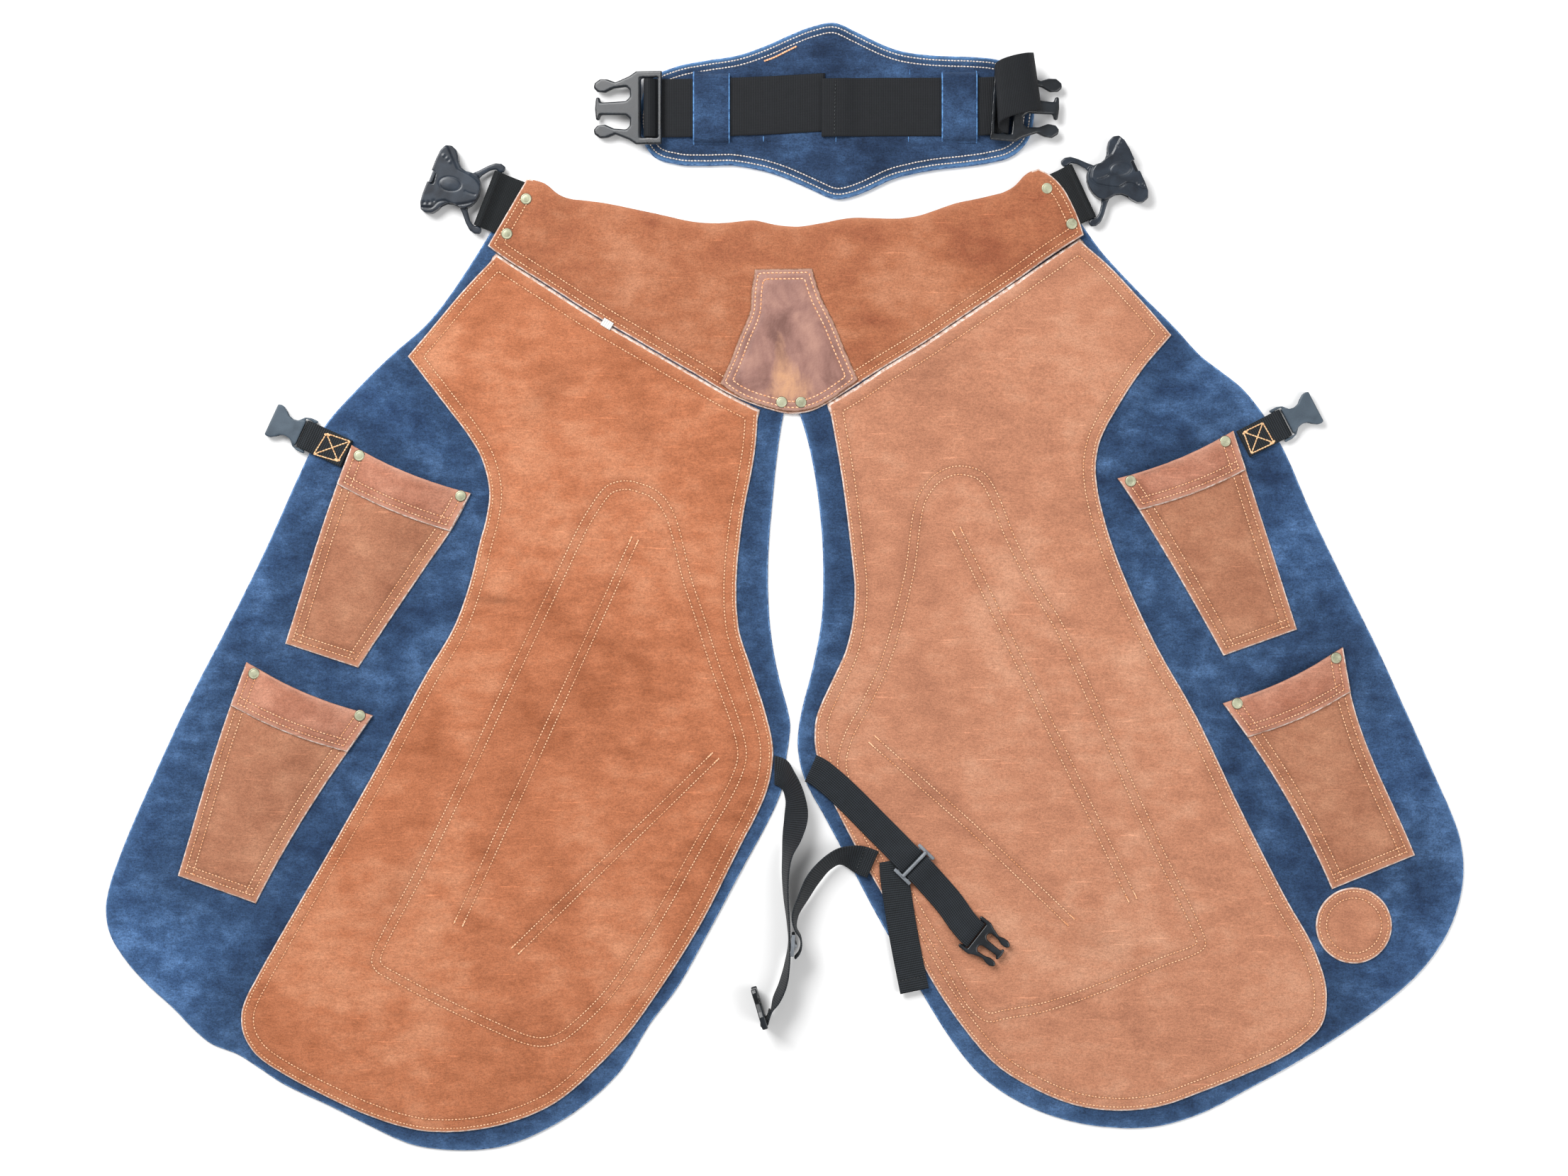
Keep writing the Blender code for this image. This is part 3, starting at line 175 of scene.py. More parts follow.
def suede(name):
    look = suedes[name]
    material, shader = newMaterial(name, Roughness=0.92)
    shader.inputs["Specular IOR Level"].default_value = 0.25
    shader.inputs["Sheen Weight"].default_value = 0.22       # the raised fibres catch light at a slant
    shader.inputs["Sheen Roughness"].default_value = 0.5
    shader.inputs["Sheen Tint"].default_value = fromHex(look["sheen"])
    place = addNode(material, "TexCoord").outputs["Object"]
    brushed = addNode(material, "Mapping", {"Vector": place, "Rotation": (0, 0, math.radians(look["nap"])),
                                            "Scale": (1.0, 2.2, 1.0)})
    cloud = addNode(material, "TexNoise", {"Vector": place, "Scale": perMetre(look["cloud"]), "Detail": 2.0,
                                           "Roughness": 0.5, "Distortion": 0.6})
    patch = addNode(material, "TexNoise", {"Vector": place, "Scale": perMetre(look["patch"]), "Detail": 4.0,
                                           "Roughness": 0.6})
    streak = addNode(material, "TexNoise", {"Vector": brushed, "Scale": perMetre(26.0), "Detail": 4.0,
                                            "Roughness": 0.6})
    # real nap fibres are 0.1 mm wide; drawn 1.3 mm wide so that they show at this distance
    grain = addNode(material, "TexNoise", {"Vector": place, "Scale": perMetre(1.3), "Detail": 2.0,
                                           "Roughness": 0.65})
    fibre = addNode(material, "TexNoise", {"Vector": brushed, "Scale": perMetre(3.4), "Detail": 4.0,
                                           "Roughness": 0.75})
    broad = addNode(material, "Mix", {0: 0.38, 2: cloud.outputs["Fac"], 3: patch.outputs["Fac"]})
    mottled = addNode(material, "Mix", {0: 0.3, 2: broad, 3: streak.outputs["Fac"]})
    low, middle, high = look["reach"]
    tone = rampOf(material, mottled, [(low, look["dark"]), (middle, look["middle"]), (high, look["light"])])
    speckle = addNode(material, "Mix", {0: 0.52, 2: grain.outputs["Fac"], 3: fibre.outputs["Fac"]})
    spread = addNode(material, "MapRange", {"Value": speckle, "From Min": 0.38, "From Max": 0.62,
                                            "To Min": 1.0 - look["grain"], "To Max": 1.0 + look["grain"]})
    furred = addNode(material, "VectorMath", {0: tone, 1: spread}, operation="MULTIPLY")
    if look["lint"]:
        # pale fibres of lint caught in the nap, about one to the square centimetre
        dust = addNode(material, "TexVoronoi", {"Vector": brushed, "Scale": perMetre(5.5), "Randomness": 1.0})
        speck = addNode(material, "MapRange", {"Value": dust.outputs["Distance"], "From Min": 0.09,
                                               "From Max": 0.03, "To Min": 1.0, "To Max": 1.0 + look["lint"]})
        furred = addNode(material, "VectorMath", {0: furred, 1: speck}, operation="MULTIPLY")
    # a few pale scratches, up to a few centimetres long, where the nap has been scraped
    drawn = addNode(material, "Mapping", {"Vector": place, "Rotation": (0, 0, math.radians(look["nap"] + 38)),
                                          "Scale": (1.0, 16.0, 1.0)})
    scraped = addNode(material, "TexNoise", {"Vector": drawn, "Scale": perMetre(34.0), "Detail": 1.0})
    scratch = addNode(material, "MapRange", {"Value": scraped.outputs["Fac"], "From Min": 0.69,
                                             "From Max": 0.76, "To Min": 1.0, "To Max": 1.32})
    furred = addNode(material, "VectorMath", {0: furred, 1: scratch}, operation="MULTIPLY")
    # painted shade in the stitch grooves: the suede is darkened along each seam
    sewn = addNode(material, "Attribute", attribute_name="sewn")
    grooveShade = addNode(material, "MapRange", {"Value": sewn.outputs["Fac"], "To Min": 1.0, "To Max": 0.6})
    shadedTone = addNode(material, "VectorMath", {0: furred, 1: grooveShade}, operation="MULTIPLY")
    # painted shade on the navy legs: darker beside the sewn-on pieces, lighter towards the open edge
    if look["paintedShade"]:
        shadeMask = addNode(material, "Attribute", attribute_name="wearAndShade")
        shadeFactor = addNode(material, "MapRange", {"Value": shadeMask.outputs["Fac"], "To Min": 1.0 + look["paintedShade"],
                                               "To Max": 1.0 - 0.45 * look["paintedShade"]})
        shadedTone = addNode(material, "VectorMath", {0: shadedTone, 1: shadeFactor}, operation="MULTIPLY")
    if "burn" in look:
        burnt = addNode(material, "Attribute", attribute_name="wearAndShade")
        browned = addNode(material, "MapRange", {"Value": burnt.outputs["Fac"], "To Min": 1.0,
                                                 "To Max": 1.0 - look["burn"]})
        shadedTone = addNode(material, "VectorMath", {0: shadedTone, 1: browned}, operation="MULTIPLY")
    rim = addNode(material, "Attribute", attribute_name="rim")
    worn = addNode(material, "Math", {0: rim.outputs["Fac"], 1: patch.outputs["Fac"]}, operation="MULTIPLY")
    edge = addNode(material, "Mix", {"Factor": worn, 6: shadedTone, 7: fromHex(look["rim"])}, data_type="RGBA")
    material.node_tree.links.new(edge.outputs[2], shader.inputs["Base Color"])
    dullness = addNode(material, "MapRange", {"Value": patch.outputs["Fac"], "To Min": 0.84, "To Max": 0.98})
    join(material, dullness, shader, "Roughness")
    nap = addNode(material, "Math", {0: grain.outputs["Fac"], 1: fibre.outputs["Fac"]}, operation="ADD")
    relief = addNode(material, "Bump", {"Height": nap, "Strength": 0.55, "Distance": 0.0005})
    join(material, relief, shader, "Normal")
    return material


# Raw cut edge of the hide: paler than its dyed face, felted and matt.
cutEdges = {
    "orangeCutEdge": ("#b58b74", "#eadbd2"),
    "navyCutEdge": ("#31507c", "#6c94c4"),
    "keeperCutEdge": ("#33598a", "#6396cc"),
    "brownCutEdge": ("#7d5a49", "#b8927c"),
    # painted shadow: the dark ring round each rivet cap
    "pressedLeather": ("#5c4032", "#7d5a48"),
}


def cutEdge(name):
    dark, light = cutEdges[name]
    material, shader = newMaterial(name, Roughness=0.95)
    place = addNode(material, "TexCoord").outputs["Object"]
    felt = addNode(material, "TexNoise",
                   {"Vector": place, "Scale": perMetre(4.0), "Detail": 4.0, "Roughness": 0.7})
    join(material, rampOf(material, felt.outputs["Fac"], [(0.38, dark), (0.62, light)]), shader, "Base Color")
    join(material,
         addNode(material, "Bump", {"Height": felt.outputs["Fac"], "Strength": 0.5, "Distance": 0.0004}),
         shader, "Normal")
    rough = addNode(material, "MapRange", {"Value": felt.outputs["Fac"], "To Min": 0.88, "To Max": 0.99})
    join(material, rough, shader, "Roughness")
    return material


# Waxed pull-up leather: a smooth oiled face, paler where it bends, with a soft gloss and fine creases.
pullUp = {"dark": "#70493f", "middle": "#8f655a", "light": "#ac8070", "scuff": "#c9956c", "edge": "#a98070"}


def oiledLeather(name):
    material, shader = newMaterial(name, Roughness=0.5)
    shader.inputs["Coat Weight"].default_value = 0.12         # the wax left on the face
    shader.inputs["Coat Roughness"].default_value = 0.4
    place = addNode(material, "TexCoord").outputs["Object"]
    bent = addNode(material, "Mapping", {"Vector": place, "Rotation": (0, 0, math.radians(-24)),
                                         "Scale": (2.0, 0.9, 1.0)})
    cloud = addNode(material, "TexNoise", {"Vector": place, "Scale": perMetre(38.0), "Detail": 4.0,
                                           "Roughness": 0.6, "Distortion": 0.8})
    streak = addNode(material, "TexNoise", {"Vector": bent, "Scale": perMetre(22.0), "Detail": 6.0,
                                            "Roughness": 0.68, "Distortion": 0.5})
    mixed = addNode(material, "Mix", {0: 0.3, 2: cloud.outputs["Fac"], 3: streak.outputs["Fac"]})
    tone = rampOf(material, mixed, [(0.36, pullUp["dark"]), (0.5, pullUp["middle"]), (0.66, pullUp["light"])])
    rub = addNode(material, "Attribute", attribute_name="wearAndShade")
    broken = addNode(material, "Math", {0: rub.outputs["Fac"], 1: streak.outputs["Fac"]},
                     operation="MULTIPLY")
    strength = addNode(material, "MapRange", {"Value": broken, "From Min": 0.2, "From Max": 0.62})
    scuffed = addNode(material, "Mix", {"Factor": strength, 6: tone, 7: fromHex(pullUp["scuff"])},
                      data_type="RGBA")
    rim = addNode(material, "Attribute", attribute_name="rim")
    edge = addNode(material, "Mix",
                   {"Factor": rim.outputs["Fac"], 6: scuffed.outputs[2], 7: fromHex(pullUp["edge"])},
                   data_type="RGBA")
    material.node_tree.links.new(edge.outputs[2], shader.inputs["Base Color"])
    pores = addNode(material, "TexVoronoi", {"Vector": place, "Scale": perMetre(1.6)})
    crease = addNode(material, "Math", {0: pores.outputs["Distance"], 1: streak.outputs["Fac"]},
                     operation="ADD")
    join(material, addNode(material, "Bump", {"Height": crease, "Strength": 0.3, "Distance": 0.0003}), shader,
         "Normal")
    gloss = addNode(material, "MapRange", {"Value": streak.outputs["Fac"], "To Min": 0.4, "To Max": 0.66})
    join(material, gloss, shader, "Roughness")
    return material


# Bonded polyester thread: bright, slightly glossy, twisted from plies.
threads = {"orangeThread": ("#dc9667", "#f9c79f"), "tanThread": ("#d3a071", "#f0cb9c"),
           "creamThread": ("#b3a79f", "#e6dcd4"), "blackThread": ("#141516", "#34373a")}


def sewingThread(name):
    dark, light = threads[name]
    material, shader = newMaterial(name, Roughness=0.55)
    place = addNode(material, "TexCoord").outputs["Object"]
    # the plies repeat every 0.4 mm; drawn 3 to 4 mm apart so that they show
    ply = addNode(material, "TexWave", {"Vector": place, "Scale": perMetre(1.0) / 6.28, "Distortion": 2.0},
                  bands_direction="DIAGONAL")
    wear = addNode(material, "TexNoise", {"Vector": place, "Scale": perMetre(7.0), "Detail": 3.0})
    mixed = addNode(material, "Mix", {0: 0.6, 2: ply.outputs["Fac"], 3: wear.outputs["Fac"]})
    join(material, rampOf(material, mixed, [(0.3, dark), (0.62, light)]), shader, "Base Color")
    join(material,
         addNode(material, "Bump", {"Height": ply.outputs["Fac"], "Strength": 0.4, "Distance": 0.0002}),
         shader, "Normal")
    rough = addNode(material, "MapRange", {"Value": wear.outputs["Fac"], "To Min": 0.45, "To Max": 0.7})
    join(material, rough, shader, "Roughness")
    return material


# Woven straps, placed by their own map: ribs across and yarns along the strap, the other way where turned.
webbings = {
    "legWebbing": {"rib": 1.9, "yarn": 1.5, "dark": "#0a0c0e", "light": "#252b31", "turned": False,
                   "relief": 0.6},
    "legWebbingLong": {"rib": 1.7, "yarn": 1.9, "dark": "#0a0c0e", "light": "#272d34", "turned": True,
                       "relief": 0.6},
    "waistWebbing": {"rib": 1.15, "yarn": 1.6, "dark": "#08090b", "light": "#1d2225", "turned": True,
                     "relief": 0.6},
    "beltWebbing": {"rib": 1.5, "yarn": 1.1, "dark": "#090b0e", "light": "#10141a", "turned": False,
                    "relief": 0.25},
}


def webbing(name):
    look = webbings[name]
    material, shader = newMaterial(name, Roughness=0.72)
    shader.inputs["Specular IOR Level"].default_value = 0.3
    shader.inputs["Sheen Weight"].default_value = 0.04
    place = addNode(material, "UVMap", uv_map="weave")
    parts = addNode(material, "SeparateXYZ", {0: place})
    along, across = parts.outputs[0], parts.outputs[1]
    if look["turned"]:
        along, across = across, along
    ribTurns = addNode(material, "Math", {0: along, 1: math.tau * perMetre(look["rib"])},
                       operation="MULTIPLY")
    yarnTurns = addNode(material, "Math", {0: across, 1: math.tau * perMetre(look["yarn"])},
                        operation="MULTIPLY")
    rib = addNode(material, "Math", {0: ribTurns}, operation="SINE")
    yarn = addNode(material, "Math", {0: yarnTurns}, operation="SINE")
    weave = addNode(material, "Math", {0: yarn, 1: 0.45, 2: rib}, operation="MULTIPLY_ADD")
    fuzz = addNode(material, "TexNoise",
                   {"Vector": place, "Scale": perMetre(9.0), "Detail": 5.0, "Roughness": 0.7})
    uneven = addNode(material, "Math", {0: fuzz.outputs["Fac"], 1: 1.6, 2: weave}, operation="MULTIPLY_ADD")
    shade = addNode(material, "MapRange", {"Value": uneven, "From Min": -0.9, "From Max": 2.4})
    join(material, rampOf(material, shade, [(0.1, look["dark"]), (0.95, look["light"])]), shader,
         "Base Color")
    join(material,
         addNode(material, "Bump", {"Height": weave, "Strength": look["relief"], "Distance": 0.0003}),
         shader, "Normal")
    rough = addNode(material, "MapRange", {"Value": shade, "To Min": 0.82, "To Max": 0.6})
    join(material, rough, shader, "Roughness")
    return material


# Injection-moulded acetal and nylon: satin, finely pitted, faintly uneven in colour.
plastics = {
    "slatePlastic": {"dark": "#161b23", "light": "#29333f", "gloss": (0.26, 0.4)},
    "thighPlastic": {"dark": "#33404c", "light": "#4a5966", "gloss": (0.36, 0.52)},
    "blackPlastic": {"dark": "#0b0d10", "light": "#1d232a", "gloss": (0.22, 0.36)},
    "greyPlastic": {"dark": "#5c6167", "light": "#878d94", "gloss": (0.3, 0.46)},
}


def mouldedPlastic(name):
    look = plastics[name]
    material, shader = newMaterial(name, Roughness=0.4)
    place = addNode(material, "TexCoord").outputs["Object"]
    flow = addNode(material, "TexNoise", {"Vector": place, "Scale": perMetre(18.0), "Detail": 3.0,
                                          "Distortion": 0.8})
    # the eroded mould skin is 0.1 mm deep and 0.2 mm apart; drawn 0.8 mm apart
    pits = addNode(material, "TexNoise", {"Vector": place, "Scale": perMetre(0.8), "Detail": 2.0})
    mixed = addNode(material, "Mix", {0: 0.25, 2: flow.outputs["Fac"], 3: pits.outputs["Fac"]})
    join(material, rampOf(material, mixed, [(0.35, look["dark"]), (0.68, look["light"])]), shader,
         "Base Color")
    join(material,
         addNode(material, "Bump", {"Height": pits.outputs["Fac"], "Strength": 0.12, "Distance": 0.0002}),
         shader, "Normal")
    low, high = look["gloss"]
    rough = addNode(material, "MapRange", {"Value": flow.outputs["Fac"], "To Min": low, "To Max": high})
    join(material, rough, shader, "Roughness")
    return material


# Brass-washed steel rivet caps: pale, a little tarnished, satin from handling.
rivetPlate = {"tarnish": "#8d8d74", "bright": "#b6b79b", "scale": 9.0}


def platedRivet(name):
    material, shader = newMaterial(name, Metallic=0.35, Roughness=0.35)
    place = addNode(material, "TexCoord").outputs["Object"]
    stain = addNode(material, "TexNoise", {"Vector": place, "Scale": perMetre(rivetPlate["scale"]),
                                           "Detail": 4.0, "Roughness": 0.6})
    join(material, rampOf(material, stain.outputs["Fac"],
                          [(0.34, rivetPlate["tarnish"]), (0.56, rivetPlate["bright"])]), shader,
         "Base Color")
    rough = addNode(material, "MapRange", {"Value": stain.outputs["Fac"], "To Min": 0.5, "To Max": 0.28})
    join(material, rough, shader, "Roughness")
    join(material, addNode(material, "Bump", {"Height": stain.outputs["Fac"], "Strength": 0.15,
                                              "Distance": 0.0002}), shader, "Normal")
    return material


# Woven satin ribbon: white, its fine cross threads drawn 2 mm apart.
def satinRibbon(name):
    material, shader = newMaterial(name, Roughness=0.6)
    place = addNode(material, "UVMap", uv_map="weave")
    cross = addNode(material, "TexWave", {"Vector": place, "Scale": perMetre(1.0) / 6.28, "Distortion": 0.5},
                    bands_direction="X")
    wear = addNode(material, "TexNoise", {"Vector": place, "Scale": perMetre(5.0), "Detail": 3.0})
    mixed = addNode(material, "Mix", {0: 0.5, 2: cross.outputs["Fac"], 3: wear.outputs["Fac"]})
    join(material, rampOf(material, mixed, [(0.25, "#b9b9b6"), (0.7, "#efefec")]), shader, "Base Color")
    join(material, addNode(material, "Bump", {"Height": cross.outputs["Fac"], "Strength": 0.3,
                                              "Distance": 0.0002}), shader, "Normal")
    rough = addNode(material, "MapRange", {"Value": wear.outputs["Fac"], "To Min": 0.5, "To Max": 0.75})
    join(material, rough, shader, "Roughness")
    return material


makers = [(suedes, suede), (cutEdges, cutEdge), (threads, sewingThread), (webbings, webbing),
          (plastics, mouldedPlastic), (["oiledLeather"], oiledLeather), (["platedRivet"], platedRivet),
          (["satinRibbon"], satinRibbon)]
finishes = {name: make(name) for names, make in makers for name in names}
print("materials:", len(finishes))


# Lines and sheets

def area(loop):
    x, y = loop[:, 0], loop[:, 1]
    return 0.5 * float(np.sum(x * np.roll(y, -1) - np.roll(x, -1) * y))


def refineLoop(points, step, corner=24.0):
    # a smooth closed line through the solid's corner points, with its sharp corners kept
    ahead = np.roll(points, -1, 0) - points
    gap = np.linalg.norm(ahead, axis=1)
    way = ahead / gap[:, None]
    before = np.roll(way, 1, 0)
    turn = np.degrees(np.arccos(np.clip(np.sum(way * before, 1), -1, 1)))
    soft = way * np.roll(gap, 1)[:, None] + before * gap[:, None]
    soft /= np.linalg.norm(soft, axis=1)[:, None]
    sharp = (turn > corner)[:, None]
    leaving, arriving = np.where(sharp, way, soft), np.where(sharp, before, soft)
    line = []
    for i in range(len(points)):
        a, b = points[i], points[(i + 1) % len(points)]
        leave, arrive = leaving[i] * gap[i], arriving[(i + 1) % len(points)] * gap[i]
        for t in np.linspace(0, 1, max(1, math.ceil(gap[i] / step)), endpoint=False):
            line.append(a * (2 * t**3 - 3 * t**2 + 1) + leave * (t**3 - 2 * t**2 + t)
                        + b * (3 * t**2 - 2 * t**3) + arrive * (t**3 - t**2))
    return np.array(line)


def spaced(line, step):
    # the same open line with points a set step apart
    gaps = np.linalg.norm(np.diff(line, axis=0), axis=1)
    run = np.concatenate([[0.0], np.cumsum(gaps)])
    count = max(1, round(run[-1] / step))
    at = np.linspace(0, run[-1], count + 1)
    return np.stack([np.interp(at, run, line[:, k]) for k in range(line.shape[1])], 1)


def rounded(points, step=3.0):
    # an open smooth line through a few given points
    points = np.asarray(points, float)
    slopes = np.gradient(points, axis=0)
    line = []
    for i in range(len(points) - 1):
        a, b = points[i], points[i + 1]
        gap = np.linalg.norm(b - a)
        leave = slopes[i] / max(np.linalg.norm(slopes[i]), 1e-9) * gap
        arrive = slopes[i + 1] / max(np.linalg.norm(slopes[i + 1]), 1e-9) * gap
        for t in np.linspace(0, 1, max(2, math.ceil(gap / step)), endpoint=False):
            line.append(a * (2 * t**3 - 3 * t**2 + 1) + leave * (t**3 - 2 * t**2 + t)
                        + b * (3 * t**2 - 2 * t**3) + arrive * (t**3 - t**2))
    line.append(points[-1])
    return np.array(line)


def insetLoop(loop, depth):
    way = np.roll(loop, -1, 0) - loop
    way /= np.maximum(np.linalg.norm(way, axis=1), 1e-9)[:, None]
    inward = np.stack([-way[:, 1], way[:, 0]], 1)
    before = np.roll(inward, 1, 0)
    middle = inward + before
    middle /= np.maximum(np.linalg.norm(middle, axis=1), 1e-9)[:, None]
    stretch = 1 / np.maximum(np.sum(middle * inward, 1), 0.55)
    return loop + middle * (depth * stretch)[:, None]


def treeOf(points):
    tree = KDTree(len(points))
    for i, point in enumerate(points):
        tree.insert((point[0], point[1], 0.0), i)
    tree.balance()
    return tree


def nearest(points, tree):
    return np.array([tree.find((p[0], p[1], 0.0))[2] for p in points])


def within(points, loop):
    x, y = points[:, 0], points[:, 1]
    hit = np.zeros(len(points), bool)
    for (ax, ay), (bx, by) in zip(loop, np.roll(loop, -1, axis=0)):
        if ay != by:
            hit ^= ((ay > y) != (by > y)) & (x < ax + (y - ay) / (by - ay) * (bx - ax))
    return hit


def insetRow(loop, depth, avoid=None, clear=0.0):
    # the stitching line a set depth inside an edge; stretches near the avoided line are left out
    dense = spaced(np.vstack([loop, loop[:1]]), 1.0)
    moved = insetLoop(dense[:-1], depth)
    keep = nearest(moved, treeOf(dense)) > depth * 0.97
    if avoid is not None:
        keep &= nearest(moved, treeOf(avoid)) > clear
    rows, current = [], []
    start = int(np.argmin(keep)) if not keep.all() else 0
    order = [(start + k) % len(moved) for k in range(len(moved))]
    for i in order:
        if keep[i] and (not current or np.linalg.norm(moved[i] - current[-1]) < 9.0):
            current.append(moved[i])
        elif keep[i] or (current and len(current) > 8 and not keep[i] and avoid is not None
                         and nearest(moved[i:i + 1], treeOf(avoid))[0] <= clear):
            rows.append(current)
            current = [moved[i]] if keep[i] else []
    rows.append(current)
    rows = [np.array(row) for row in rows if len(row) > 8]
    if len(rows) == 1 and keep.sum() > 0.97 * len(keep):
        rows = [np.vstack([rows[0], rows[0][:1]])]
    return rows


def cadTop(nodeName):
    # the upward faces of a solid: their outline and a tree to find heights with
    bm = bmesh.new()
    bm.from_mesh(frame["nodes"][nodeName].data)
    bmesh.ops.scale(bm, vec=(1000, 1000, 1000), verts=bm.verts)
    bmesh.ops.remove_doubles(bm, verts=bm.verts, dist=0.01)
    bm.normal_update()
    bmesh.ops.delete(bm, geom=[f for f in bm.faces if f.normal.z < 0.2], context="FACES")
    tree = BVHTree.FromBMesh(bm)
    following = {}
    for edge in bm.edges:
        if len(edge.link_faces) == 1:
            loop = edge.link_loops[0]
            following[loop.vert.index] = loop.link_loop_next.vert.index
    at = {v.index: v.co.copy() for v in bm.verts}
    bm.free()
    loops = []
    while following:
        first, index = following.popitem()
        walk = [first]
        while index != first and index in following:
            walk.append(index)
            index = following.pop(index)
        loops.append(walk)
    longest = max(loops, key=len)
    return np.array([at[i][:] for i in longest]), tree


# Spots where straps, buckles and the label rest, so the leather stays flat under them: x, y and radius.
restingSpots = [(-409, 129, 62), (425, 138, 62), (-254, 332, 80), (253, 338, 80), (-152, 225, 16),
                (-5, -160, 30), (30, -165, 32), (60, -186, 32), (90, -216, 32), (110, -240, 34),
                (135, -265, 32), (160, -295, 40), (97, -262, 24), (101, -292, 24), (108, -322, 24),
                (112, -347, 24), (60, -232, 26), (78, -238, 26), (0, -190, 22), (-330, 90, 20), (345, 95, 20)]


def liftAt(points):
    # slack in the hide: every layer rises and falls together by less than a millimetre
    calm = np.ones(len(points))
    for x, y, radius in restingSpots:
        away = np.hypot(points[:, 0] - x, points[:, 1] - y)
        calm *= np.clip((away - radius) / 35.0, 0, 1)
    rolling = np.array([0.7 * noise.noise((x / 95, y / 130, 0.3)) + 0.3 * noise.noise((x / 38, y / 46, 4.7))
                        for x, y in points[:, :2]])
    return leather["waviness"] * np.clip(rolling * 1.1 + 0.5, 0, 1) * calm


def eased(values):
    values = np.clip(values, 0, 1)
    return values * values * (3 - 2 * values)


def newPiece(name, verts, faces, materials, faceMaterial=None):
    mesh = bpy.data.meshes.new(name)
    corners = [tuple(v) for v in np.asarray(verts) / 1000.0]
    mesh.from_pydata(corners, [], [tuple(int(i) for i in f) for f in faces])
    for material in materials:
        mesh.materials.append(finishes[material])
    if faceMaterial is not None:
        mesh.polygons.foreach_set("material_index", np.asarray(faceMaterial, np.int32))
    mesh.polygons.foreach_set("use_smooth", np.full(len(mesh.polygons), True))
    mesh.update()
    piece = bpy.data.objects.new(name, mesh)
    bpy.context.scene.collection.objects.link(piece)
    return piece


def paint(piece, name, values):
    piece.data.attributes.new(name, "FLOAT", "POINT").data.foreach_set("value",
                                                                       np.asarray(values, np.float32))


def settle(heights, faces, fixed, rounds):
    # evens out the flat facets of a curved solid, leaving fixed points where they are
    pairs = np.array([(a, b) for f in faces for a, b in zip(f, f[1:] + f[:1])])
    count = np.zeros(len(heights))
    np.add.at(count, pairs[:, 0], 1)
    for _ in range(rounds):
        total = np.zeros(len(heights))
        np.add.at(total, pairs[:, 0], heights[pairs[:, 1]])
        moved = total / np.maximum(count, 1)
        heights = np.where(fixed | (count == 0), heights, 0.4 * heights + 0.6 * moved)
    return heights


# Spacing of a sheet's mesh: points of the outline, rings inside it, points along and beside each seam.
sheetMesh = {"outline": 3.5, "lip": 0.9, "edge": 2.1, "seam": 3.3, "beside": 1.7, "cell": 1.3, "clear": 0.7}
dimple = {"depth": 0.5, "halfWidth": 1.3}
tops = {}


def keepTop(name, piece):
    # stitches and later pieces find their height on this one
    tops[name] = BVHTree.FromPolygons([v.co * 1000 for v in piece.data.vertices],
                                      [p.vertices[:] for p in piece.data.polygons])


